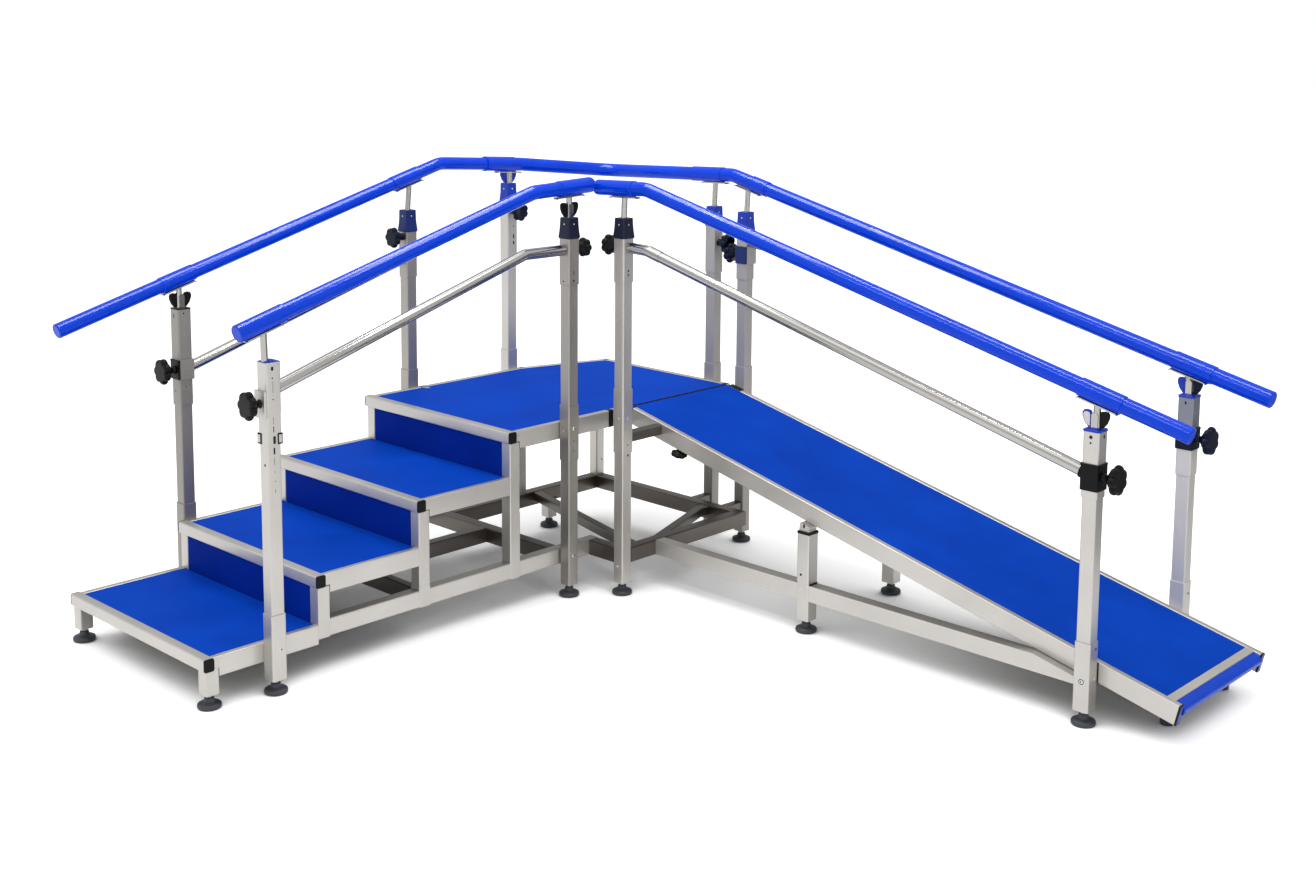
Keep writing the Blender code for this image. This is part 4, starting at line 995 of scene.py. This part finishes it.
for n, (x, y, z0, z1, knobZ, knobWay, body) in postRows.items():
    bm = newMesh()
    top = z1 - boots[n][1] + 0.008 if n in boots else z1 - 0.0005
    levels = skin(z0, top, 0.0218, socketHalf, 0.0008)
    if n == 2:
        lower = [(z0, 0.0214), (z0 + 0.0006, 0.0219), (0.768, 0.0219), (0.7686, socketHalf)]
        levels = lower + levels[2:]
    squareStack(bm, (x, y), levels, cornerR["socket"])
    # On post 10 a band of the sleeve takes the second material, steel painted blue-grey as a painted reflection of
    # the grip
    if n == 10:
        levels = [(collars[10][0] + 0.005, socketHalf + 0.0002), (top - 0.0004, socketHalf + 0.0002)]
        squareStack(bm, (x, y), levels, cornerR["socket"], 1)
    nodes = (f"sleeve_{n}",) if n in (4, 7) else ()
    finish(f"sleeve{n}", bm, [postSteel.get(n, brushedSteel), steelPaintedReflection], body, "steel", *nodes)
    a, b = railSpans[n]
    axis = 1 if n < 6 else 0
    footShift, headShift = rodShift.get(n, ((0.0, 0.0, 0.0), 0.0))
    way = (Vector(b) - Vector(a)).normalized()
    bm = newMesh()
    middle = saddle(bm, n, onLine(a, b, axis, posts[n][axis]), way, headShift)
    root = Vector((x, y, z1 - 0.004)) + Vector(footShift)
    length = (middle - root).length - 0.002
    rod(bm, zFrame(root, middle - root), headValues["rodRadius"], 0.0, length, 24)
    if n in ears:
        along = Vector((way.x, way.y, 0.0)).normalized()
        across = along.cross(up)
        fork(bm, along, across, Vector((x, y, z1 - 0.002)))
        earPair(n, frameOf(along, up, across, (x, y, z1 + 0.0005)), body)
    finish(f"rod{n}", bm, [polishedSteel], body, "steel")
    bm = newMesh()
    if n in boots:
        material, height = boots[n]
        levels = [(z1 - height + z * 0.001, half * 0.001) for z, half in bootLevels]
        levels += [(z1 - 0.004, 0.0214), (z1 - 0.0010, 0.0210), (z1, 0.0202)]
        squareStack(bm, (x, y), levels, 0.0056)
        for face in ("x", "y"):
            rivet = faceFrame((x, y), face, 0.0213, 0.0, z1 - 0.020)
            lathe(bm, rivet, domeProfile(0.0028, 0.0014), 20, 1)
        finish(f"boot{n}", bm, [material, zinc], body, "knob")
        continue
    levels = [(z1 - 0.006, 0.0232), (z1 - 0.0050, 0.0240), (z1 - 0.0008, 0.0240), (z1, 0.0232)]
    if n == 1:
        levels = [(z1 - 0.003, 0.0232), (z1 - 0.0005, 0.0232), (z1, 0.0224)]
    if n == 2:
        levels = [(z1 - 0.004, 0.0220), (z1 - 0.0005, 0.0224), (z1 + 0.0008, 0.0216)]
    squareStack(bm, (x, y), levels, 0.0052)
    if n > 1:
        domed = [(0.0, 0.0), (0.015, 0.0), (0.013, 0.004), (0.009, 0.006), (0.0, 0.007)]
        lathe(bm, at(x, y, z1 - 0.001), domed, 28)
    finish(f"cap{n}", bm, [capBlue if n > 1 else moulded], body, "knob")
print("heads ready")

# Collars round the sleeves where the clamping knobs sit
outer = socketHalf + 0.0035
for n, (c0, c1) in collars.items():
    x, y = posts[n]
    body = postRows[n][6]
    bm = newMesh()
    if n == 2:
        plate = [(-0.021, c0 - 0.004), (0.0, c0 - 0.008), (0.0215, c0 - 0.004), (0.0215, c1), (-0.026, c1),
                 (-0.026, c0 + 0.010)]
        plateInto(bm, plate, 0.0003, 0.0075, frontFrame(x, y - socketHalf), 0, 0.0022)
        ends = [(x - 0.0245, y + side, c0 + 0.008) for side in (-0.026, 0.014)]
        roundedBar(bm, *ends, 0.003, 0.030, 0.001)
        finish("clampPlate2", bm, [brushedSteel], body, "steel")
        continue
    levels = [(c0, outer - 0.0012), (c0 + 0.0012, outer), (c1 - 0.0052, outer), (c1 - 0.0050, outer + 0.0008),
              (c1 - 0.0010, outer + 0.0008), (c1, outer - 0.0004)]
    squareStack(bm, (x, y), levels, 0.0050)
    finish(f"collar{n}", bm, [{8: bootNavy, 10: knobNavy}.get(n, moulded)], body, "knob")
    if n in (1, 8):
        bm = newMesh()
        cheekX = x + outer + 0.0002
        ends = [(cheekX, y + side, (c0 + c1) / 2) for side in (-0.0215, 0.0250)]
        roundedBar(bm, *ends, 0.0024, c1 - c0 + 0.002, 0.0008)
        dome = zFrame((cheekX + 0.0010, y + 0.002, c0 + 0.030), (1, 0, 0))
        lathe(bm, dome, domeProfile(0.0034, 0.0012), 20)
        finish(f"clampCheek{n}", bm, [postSteel[n]], body, "steel")

# Star knobs
knobValues = {"lobes": 7, "depth": 0.19, "points": 14, "groove": 0.85}
knobR = {1: 0.0400, 2: 0.0395, 5: 0.0305, 6: 0.0330, 9: 0.0400, 10: 0.0405}
navyKnobs = (3, 4, 7, 8, 10)
knobRings = [
    (0.06, 0.84), (0.18, 0.94), (0.34, 0.99), (0.52, 1.0), (0.72, 0.98),
    (0.88, 0.92), (0.97, 0.83), (1.0, 0.74), (0.96, 0.68), (0.86, 0.65),
]


def starKnob(bm, place, radius, thickness, hubR, hubL):
    """A lobed grip on a waisted neck, standing on local Z."""
    narrow = hubR * 0.72
    neck = [
        (0.0, 0.0), (hubR, 0.0), (hubR, hubL * 0.16), (narrow * 1.08, hubL * 0.26), (narrow, hubL * 0.40),
        (narrow * 1.32, hubL * 0.55), (radius * 0.56, hubL * 0.80), (radius * 0.70, hubL + 0.001),
        (0.0, hubL + 0.001),
    ]
    lathe(bm, place, neck, 32)
    part = newMesh()
    count = knobValues["lobes"] * knobValues["points"]
    scale = 0.72
    outline = []
    for k in range(count):
        angle = 2 * math.pi * k / count
        groove = abs(math.sin(knobValues["lobes"] * angle / 2)) ** knobValues["groove"]
        size = radius * (1 - knobValues["depth"] * (1 - groove)) * scale
        outline.append(part.verts.new((size * math.cos(angle), size * math.sin(angle), hubL)))
    face = part.faces.new(outline)
    for share, size in knobRings:
        face = raised(part, face, hubL + thickness * share, size / scale)
        scale = size
    join(bm, part, place)
    cover = [(0.0, 0.0), (radius * 0.40, 0.0), (radius * 0.38, 0.0012), (radius * 0.34, 0.0016), (0.0, 0.0016)]
    lathe(bm, place @ at(0.0, 0.0, hubL + thickness * 0.86), cover, 28)


for n, (x, y, z0, z1, knobZ, knobWay, body) in postRows.items():
    way = Vector(knobWay)
    reach = sideOff + (0.0035 if n in collars else 0.0)
    bm = newMesh()
    starKnob(bm, zFrame(Vector((x, y, knobZ)) + way * reach, way), knobR.get(n, 0.0355), 0.022, 0.0125, 0.028)
    material = knobNavy if n in navyKnobs else moulded
    finish(f"starKnob{n}", bm, [material], f"knob_{n}_turn", "knob", f"knob_{n}", angle=50.0, weighted=False)
bm = newMesh()
down = (-math.sin(rampSlope), 0.0, -math.cos(rampSlope))
starKnob(bm, zFrame(rampPoint(0.100, rampNearY + rimHalf, rimH + gap), down), 0.027, 0.014, 0.010, 0.009)
lock = ("ramp_lock_knob_turn", "knob", "ramp_lock_knob")
finish("rampLockKnob", bm, [moulded], *lock, angle=50.0, weighted=False)
print("knobs ready")

# Levelling feet
footPlaces = {
    "foot_step_near": (nearLegX, legY(1)),
    "foot_step_far": (farLegX, legY(1)),
    **{f"foot_{n}": posts[n] for n in (2, 5, 6, 7, 8, 9, 10)},
    "foot_corner": cornerFoot,
    "foot_ramp_near": midLegs["near"],
    "foot_ramp_far": midLegs["far"],
}
footProfile = [
    (0.0, 0.030), (0.0105, 0.030), (0.0125, 0.0285), (0.0135, 0.0240), (0.0150, 0.0185), (0.0190, 0.0160),
    (0.0270, 0.0140), (0.0300, 0.0125), (0.0317, 0.0098), (0.0320, 0.0070), (0.0317, 0.0035),
    (0.0300, 0.0010), (0.0270, 0.0), (0.0, 0.0),
]
thread = [(0.0, 0.029)]
for k in range(6):
    thread += [(0.0074, 0.029 + 0.0016 * k), (0.0080, 0.0298 + 0.0016 * k)]
thread += [(0.0074, footH + 0.006), (0.0, footH + 0.006)]
for node, spot in footPlaces.items():
    bm = newMesh()
    lathe(bm, at(*spot), footProfile, 48)
    lathe(bm, at(*spot), thread, 24, 1)
    finish(camel(node), bm, [rubber, zinc], f"{node}_turn", "foot", node, angle=35.0)
endProfile = [(0.0, 0.016), (0.014, 0.016), (0.0175, 0.013), (0.018, 0.003), (0.016, 0.0), (0.0, 0.0)]
for k, y in enumerate((0.290, rampFarY - 0.043)):
    bm = newMesh()
    rod(bm, at(endFootX, y), 0.008, 0.006, rampPoint(endFootX, y, 0.045).z, 20, 1)
    lathe(bm, at(endFootX, y), endProfile, 32)
    finish(f"rampEndFoot{k + 1}", bm, [rubber, zinc], "base", "foot")
print("feet ready")

# Black end caps of the nosing tubes
bm = newMesh()
capValues = {"thick": 0.0045, "over": 0.0006}
for k in (1, 2, 3, 4):
    y = stepY(k) + noseD / 2
    z = stepZ(k) - noseH / 2
    size = (noseD + capValues["over"], noseH + capValues["over"])
    for x, sign in ((stairNearX, 1), (stairFarX, -1)):
        ends = ((x - sign * 0.001, y, z), (x + sign * capValues["thick"], y, z))
        roundedBar(bm, *ends, *size, 0.006, endRadius=0.002)
finish("nosingCaps", bm, [moulded], "base", "knob")

# Black plugs where the rim rails of two modules meet, and at the ends of the ramp's rails
bm = newMesh()
plug = (rimW + 0.0008, rimH + 0.0008, 0.003)
start = stairNearX + 0.0135
slopeWay = (rampPoint(1.0, 0.0) - rampPoint(0.0, 0.0)).normalized()
roundedBar(bm, (nearRimX, seamNearY + 0.002, rimZ), (nearRimX, seamNearY + 0.022, rimZ), *plug)
roundedBar(bm, (farRimX, seamFarY - 0.012, rimZ), (farRimX, seamFarY + 0.010, rimZ), *plug)
for y in rampRimY:
    roundedBar(bm, rampPoint(start, y, rimH / 2), rampPoint(start + 0.004, y, rimH / 2), *plug)
    tip = rampPoint(rampEndX, y, rimH / 2)
    roundedBar(bm, tip - slopeWay * 0.003, tip + slopeWay * 0.0022, *plug, endRadius=0.0008)
    roundedBar(bm, tip + slopeWay * 0.0015, tip + slopeWay * 0.0027, 0.0125, 0.044, 0.004, material=1)
ends = [rampPoint(x, rampRimY[1], -0.0006) for x in (start, start + 0.050)]
roundedBar(bm, *ends, rimW + 0.002, 0.003, 0.001)
finish("railPlugs", bm, [moulded, capBlue], "base", "knob")

# Blue vinyl edge over the joint of corner platform and ramp, with its dark gap
stripValues = {"wide": 0.015, "high": 0.003, "over": 0.0010}
bm = newMesh()
y0 = rampNearY + rimW
y1 = rampFarY - rimW - 0.002
x = stairNearX - 0.0085
z = deckZ + stripValues["over"] - stripValues["high"] / 2
roundedBar(bm, (x, y0 - 0.020, z), (x, y1, z), stripValues["wide"], stripValues["high"], 0.0016)
finish("jointEdge", bm, [boardVinyl], "base", "lip")
bm = newMesh()
x += stripValues["wide"] / 2 + 0.0012
z = deckZ - 0.0012
roundedBar(bm, (x, y0, z), (x, y1, z), 0.0028, 0.003, 0.0004)
finish("jointGap", bm, [bore], "base", "knob")

# Small plates: the seam's cover on the platform, the middle legs' plastic collars and a post's lip
bm = newMesh()
x = stairFarX + rimW + 0.018
ends = [(x - 0.020, seamFarY - 0.006, deckZ - 0.0006), (x + 0.012, seamFarY - 0.002, deckZ - 0.0006)]
roundedBar(bm, *ends, 0.012, 0.002, 0.0006)
finish("seamCover", bm, [brushedSteel], "base", "steel")
bm = newMesh()
ringLevels = [(-0.003, 0.0230), (-0.002, 0.0236), (0.003, 0.0236), (0.0045, 0.0222), (0.0050, 0.0190)]
for spot in midLegs.values():
    squareStack(bm, spot, [(midLegTop + z, half) for z, half in ringLevels], 0.004)
x, y = midLegs["near"]
edge = socketHalf + 0.0012
for side in (x - edge, x + edge):
    roundedBar(bm, (side, y - 0.018, baseTop), (side, y + 0.019, baseTop), 0.0024, 0.005, 0.0006)
x, y = posts[9]
x += edge
y += 0.0218
roundedBar(bm, (x, y, 0.110), (x, y, 0.166), 0.0022, 0.0022, 0.0005)
finish("legLips", bm, [moulded], "base", "knob")

# Clamp clips at the foot of the sliding sleeve beside the steps
bm = newMesh()
x, y = posts[2]
z = postRows[2][2] + 0.016
clipHalf = 0.0219
clips = [
    ((x - 0.0235, y - clipHalf), (x - 0.0070, y - clipHalf)),
    ((x + clipHalf, y + 0.0090), (x + clipHalf, y + 0.0235)),
]
for a, b in clips:
    roundedBar(bm, (*a, z), (*b, z), 0.004, 0.030, 0.0018, endRadius=0.0012)
    inset = (Vector(b) - Vector(a)) * 0.16
    ends = ((*(Vector(a) + inset), z), (*(Vector(b) - inset), z))
    roundedBar(bm, *ends, 0.0056, 0.022, 0.0018, material=1, endRadius=0.0012)
finish("sleeveClips2", bm, [moulded, brushedSteel], postRows[2][6], "knob")


# Bolt heads, rivets and punched holes
def stadium(radius, length):
    """A round or upright slot outline about the origin."""
    points = []
    for k in range(20):
        angle = 2 * math.pi * k / 20
        lift = length / 2 if math.sin(angle) >= 0 else -length / 2
        points.append((radius * math.cos(angle), radius * math.sin(angle) + lift))
    return points


def mark(bm, centre, face, half, across, z, radius, length=0.0, kind="hole"):
    """One small fastener or hole on a tube's face."""
    place = faceFrame(centre, face, half, across, z)
    if kind == "hole":
        plateInto(bm, stadium(radius + 0.0007, length), -0.001, 0.00014, place, 0)
        plateInto(bm, stadium(radius, length), -0.001, 0.0003, place, 1)
    elif kind == "washer":
        disc = [(0.0, -0.001), (radius, -0.001), (radius, 0.0008), (radius - 0.0006, 0.0014), (0.0, 0.0014)]
        lathe(bm, place, disc, 28)
        rod(bm, place, radius * 0.78, 0.0010, 0.0016, 28, 1)
        lathe(bm, place, domeProfile(radius * 0.66, 0.0032), 28)
        plateInto(bm, stadium(radius * 0.12, radius * 0.30), 0.0030, 0.0036, place, 1)
    else:
        lathe(bm, place, domeProfile(radius, radius * 0.45), 24)
        if kind == "bolt":
            plateInto(bm, stadium(radius * 0.42, 0.0), radius * 0.30, radius * 0.47, place, 1)


# In millimetres: post, face, half size, across, height, radius, slot length, kind
outside, bare, lower = socketSize * 500, postSize * 500, 21.9
markScale = 1.2
sleeveMarks = {
    "front_stair_rail": [
        (2, "x", outside, -4, 889, 3.2, 4), (2, "x", outside, -4, 864, 1.9), (2, "x", outside, -3, 840, 0.5, 30),
        (2, "x", outside, -3, 807, 1.7), (2, "x", lower, -3, 750, 0.5, 20), (2, "x", lower, -3, 727, 1.2, 14),
        (2, "x", lower, -1, 698, 3.4, 14), (5, "y", outside, -1, 1006, 2.8), (5, "x", outside, -2, 1008, 3.4),
        (5, "x", outside, -2, 1032, 1.4, 12),
    ],
    "front_ramp_rail": [
        (6, "x", outside, -2, 1037, 2.8), (6, "x", outside, -2, 1024, 1.9, 4), (9, "y", outside, 0, 763, 4.2),
        (9, "y", outside, 0, 748, 2.4), (9, "x", outside, 4, 764, 3.0, 3),
    ],
    "rear_rail": [
        (1, "y", outside, -1, 910, 2.0, 10), (1, "x", outside, -3, 918, 2.8), (1, "x", outside, 1, 858, 1.6),
        (1, "x", outside, -1, 692, 2.2), (1, "y", outside, -4, 678, 2.2), (4, "x", outside, 4, 1078, 1.2, 4),
        (4, "x", outside, 4, 1041, 2.4, 10), (4, "x", outside, 4, 1018, 2.6, 6), (10, "y", outside, 0, 762, 2.2, 4),
    ],
    "base": [
        (2, "x", bare, -1, 668, 2.2, 14), (2, "x", bare, -1, 640, 0.6, 20), (2, "x", bare, -1, 612, 1.4),
        (2, "x", bare, 0, 586, 1.4), (2, "x", bare, 0, 560, 0.6, 10), (2, "y", bare, 4, 630, 3.0),
        (2, "x", outside, 4, 125, 4.5, 0, "bolt"), (5, "x", outside, 0, 542, 5.5, 0, "bolt"),
        (5, "y", outside, -3, 534, 2.2, 0, "rivet"), (5, "x", outside, -1, 503, 2.2),
        (5, "x", outside, -1, 471, 2.2), (5, "x", bare, 0, 133, 4.5, 0, "bolt"),
        (6, "y", outside, 2, 571, 3.0, 0, "rivet"), (6, "x", outside, 0, 571, 3.0, 0, "rivet"),
        (6, "x", outside, -1, 486, 2.2), (6, "x", bare, 3, 452, 3.2), (6, "y", bare, -3, 93, 4.0, 0, "rivet"),
        (9, "x", outside, 8, 205, 3.0), (9, "x", outside, 9, 125, 2.2, 0, "rivet"),
        (9, "y", outside, 2, 121, 8.5, 0, "washer"), (9, "y", outside, -20, 152, 1.8, 0, "rivet"),
        (9, "y", outside, -20, 122, 1.8, 0, "rivet"), (10, "x", outside, 4, 215, 2.6),
        (10, "y", outside, -6, 120, 2.0),
    ],
}
for body, rows in sleeveMarks.items():
    bm = newMesh()
    for n, face, half, across, z, radius, *more in rows:
        length, kind = (*more, 0, "hole")[:2] if len(more) != 1 else (more[0], "hole")
        sizes = [value * 0.001 for value in (half, across, z, radius * markScale, length)]
        mark(bm, posts[n], face, *sizes, kind)
    if body == "base":
        leg = midLegs["near"]
        mark(bm, leg, "y", midInner / 2, -0.001, 0.326, 0.0038, 0.006)
        mark(bm, leg, "y", socketHalf, -0.006, 0.178, 0.0042)
        mark(bm, leg, "y", socketHalf, -0.006, 0.134, 0.0032, 0.0, "rivet")
        mark(bm, (0.596, rampNearY), "y", 0.0, 0.0, 0.364, 0.0020, 0.0, "rivet")
        mark(bm, (cornerLegX, cornerLegsY[1]), "x", postHalf - 0.0005, 0.005, 0.205, 0.0030)
        for k in (1, 2, 3, 4):
            side = (stairNearX - 0.0005, stepY(k) + (0.044 if k > 1 else 0.056))
            mark(bm, side, "x", 0.0, 0.0, stepZ(k) - 0.016, 0.0016, 0.0, "rivet")
    finish(camel(body) + "Fasteners", bm, [zinc, bore], body, "steel", angle=35.0)
print("details ready")

# Studio: white floor that keeps the shadow, with painted shade from ambient occlusion near the object, and grey
# cards that the right-hand faces mirror
glowValues = {"glow": 0.40, "reach": 0.8, "dark": 0.21, "bright": 0.48, "samples": 16}


def stagePlane(name, size, place, turn, colour, glow):
    """A flat stage piece; a glow is added for what the camera and mirrors see, and ambient occlusion takes it away
    near and under the object as painted shade.
    """
    bm = bmesh.new()
    bmesh.ops.create_grid(bm, x_segments=1, y_segments=1, size=0.5)
    mesh = bpy.data.meshes.new(name)
    bm.to_mesh(mesh)
    bm.free()
    plane = newObject(name, mesh)
    plane.scale = (*size, 1.0)
    plane.location = place
    plane.rotation_euler = turn
    inputs = {"Base Color": (colour, colour, colour, 1.0), "Roughness": 0.95, "Specular IOR Level": 0.0}
    paper, tree, shader = newMaterial(name + "Paper", {**inputs, "Emission Color": (1.0, 1.0, 1.0, 1.0)})
    if glow:
        rays = [add(tree, "LightPath", {}, out) for out in ("Is Camera Ray", "Is Glossy Ray")]
        seen = add(tree, "Math", dict(enumerate(rays)), operation="MAXIMUM")
        amount = add(tree, "Math", {0: seen, 1: glow}, operation="MULTIPLY")
        # Painted shade: the glow fades where ambient occlusion is low, darkening the floor under and beside the
        # object
        reach = {"Distance": glowValues["reach"]}
        openness = add(tree, "AmbientOcclusion", reach, "AO", samples=glowValues["samples"])
        fade = {"Value": openness, "From Min": glowValues["dark"], "From Max": glowValues["bright"]}
        fade = add(tree, "MapRange", fade, interpolation_type="SMOOTHSTEP")
        fill(shader, {"Emission Strength": add(tree, "Math", {0: amount, 1: fade}, operation="MULTIPLY")})
    mesh.materials.append(paper)
    return plane


stagePlane("studioFloor", (120.0, 120.0), (0.0, 0.0, 0.0), (0.0, 0.0, 0.0), 0.93, glowValues["glow"])
cards = {
    "greyCardLow": ((4.1, 0.42), (2.95, 1.25, 0.21), 0.20),
    "greyCardRight": ((1.6, 1.7), (2.5, 2.1, 0.85), 0.24),
    "greyCardLeft": ((1.05, 1.7), (0.62, 2.1, 0.85), 0.24),
}
for name, (size, place, colour) in cards.items():
    card = stagePlane(name, size, place, (math.pi / 2, 0.0, 0.0), colour, 0.0)
    card.visible_camera = False
    card.visible_diffuse = False
    card.visible_shadow = False

# World: white to the camera, an even pale studio to the object, darker to mirrors on its far side
lightValues = {
    "ambient": 0.74, "farSide": 0.45, "sun": 0.90, "sunAngle": 70.0,
    "strip": 14.0, "stripWide": 0.035, "shine": 17.0, "soft": 3.0,
}
world = bpy.data.worlds.new("studio")
bpy.context.scene.world = world
world.use_nodes = True
tree = world.node_tree
tree.nodes.clear()
facing = {0: add(tree, "TexCoord", {}, "Generated"), 1: (-0.689, 0.725, 0.0)}
facing = add(tree, "VectorMath", facing, "Value", operation="DOT_PRODUCT")
mirrored = {"Value": facing, "From Min": 0.55, "From Max": 0.92, "To Min": 1.0, "To Max": lightValues["farSide"]}
toMirrors = {0: add(tree, "LightPath", {}, "Is Glossy Ray"), 2: lightValues["ambient"]}
toMirrors[3] = add(tree, "MapRange", mirrored)
toCamera = {0: add(tree, "LightPath", {}, "Is Camera Ray"), 2: add(tree, "Mix", toMirrors), 3: 1.0}
backdrop = {"Color": (1.0, 1.0, 1.0, 1.0), "Strength": add(tree, "Mix", toCamera)}
add(tree, "OutputWorld", {"Surface": add(tree, "Background", backdrop)})


def lamp(name, kind, place, target, power, size=(1.0, 1.0)):
    data = bpy.data.lights.new(name, kind)
    data.energy = power
    if kind == "AREA":
        data.shape = "RECTANGLE"
        data.size, data.size_y = size
    light = newObject(name, data)
    light.location = place
    light.rotation_euler = (Vector(target) - Vector(place)).to_track_quat("-Z", "Y").to_euler()
    light.visible_camera = False
    return light


sun = lamp("softSun", "SUN", (0.3, -1.6, 5.0), (0.0, 0.0, 0.0), lightValues["sun"])
sun.data.angle = math.radians(lightValues["sunAngle"])
stripWide = lightValues["stripWide"]
lamp("rampStrip", "AREA", (-0.05, -0.10, 3.5), (-0.05, -0.10, 0.0), lightValues["strip"], (3.0, stripWide))
lamp("stairStrip", "AREA", (-0.30, -0.20, 3.5), (-0.30, -0.20, 0.0), lightValues["strip"], (stripWide, 2.4))

# Soft boxes that only mirrors see: strong ones for the white lines along the grips alone, weak ones for all
gripGroup = bpy.data.collections.new("grips")
for obj in bpy.data.objects:
    if obj.name.startswith("grip"):
        gripGroup.objects.link(obj)
softBoxes = {
    "stairShine": ((-0.45, -0.20, 3.5), (1.3, 2.1), "shine"),
    "rampShine": ((0.35, 0.20, 3.5), (2.9, 0.8), "shine"),
    "lowShine": ((1.05, -1.60, 2.6), (1.7, 0.35), "shine"),
    "stairSoft": ((-0.45, -0.20, 3.5), (1.0, 2.1), "soft"),
    "rampSoft": ((0.35, 0.20, 3.5), (2.9, 0.6), "soft"),
}
for name, (place, size, strength) in softBoxes.items():
    power = lightValues[strength] * math.pi * size[0] * size[1]
    box = lamp(name, "AREA", place, (place[0], place[1] + 0.0001, 0.0), power, size)
    box.visible_diffuse = False
    if strength == "shine":
        box.light_linking.receiver_collection = gripGroup

# Camera at the photo's place, with the lens shifted down
cameraValues = {
    "place": (3.4925, -3.5234, 1.7558), "yaw": 43.525, "pitch": 7.242, "roll": 0.427,
    "focal": 1617.764, "width": 1316.0, "shift": 438.0 - 242.069,
}
sensorWidth = 36.0
yaw, pitch, roll = (math.radians(cameraValues[key]) for key in ("yaw", "pitch", "roll"))
ahead = Vector((-math.sin(yaw), math.cos(yaw), 0.0))
right = Vector((math.cos(yaw), math.sin(yaw), 0.0))
forward = ahead * math.cos(pitch) - up * math.sin(pitch)
above = ahead * math.sin(pitch) + up * math.cos(pitch)
rightTurned = right * math.cos(roll) + above * math.sin(roll)
aboveTurned = above * math.cos(roll) - right * math.sin(roll)
cameraData = bpy.data.cameras.new("camera")
cameraData.sensor_width = sensorWidth
cameraData.lens = cameraValues["focal"] * sensorWidth / cameraValues["width"]
cameraData.shift_y = -cameraValues["shift"] / cameraValues["width"]
camera = newObject("camera", cameraData)
camera.matrix_world = frameOf(rightTurned, aboveTurned, -forward, cameraValues["place"])
bpy.context.scene.camera = camera
bpy.context.scene.view_settings.view_transform = "Standard"
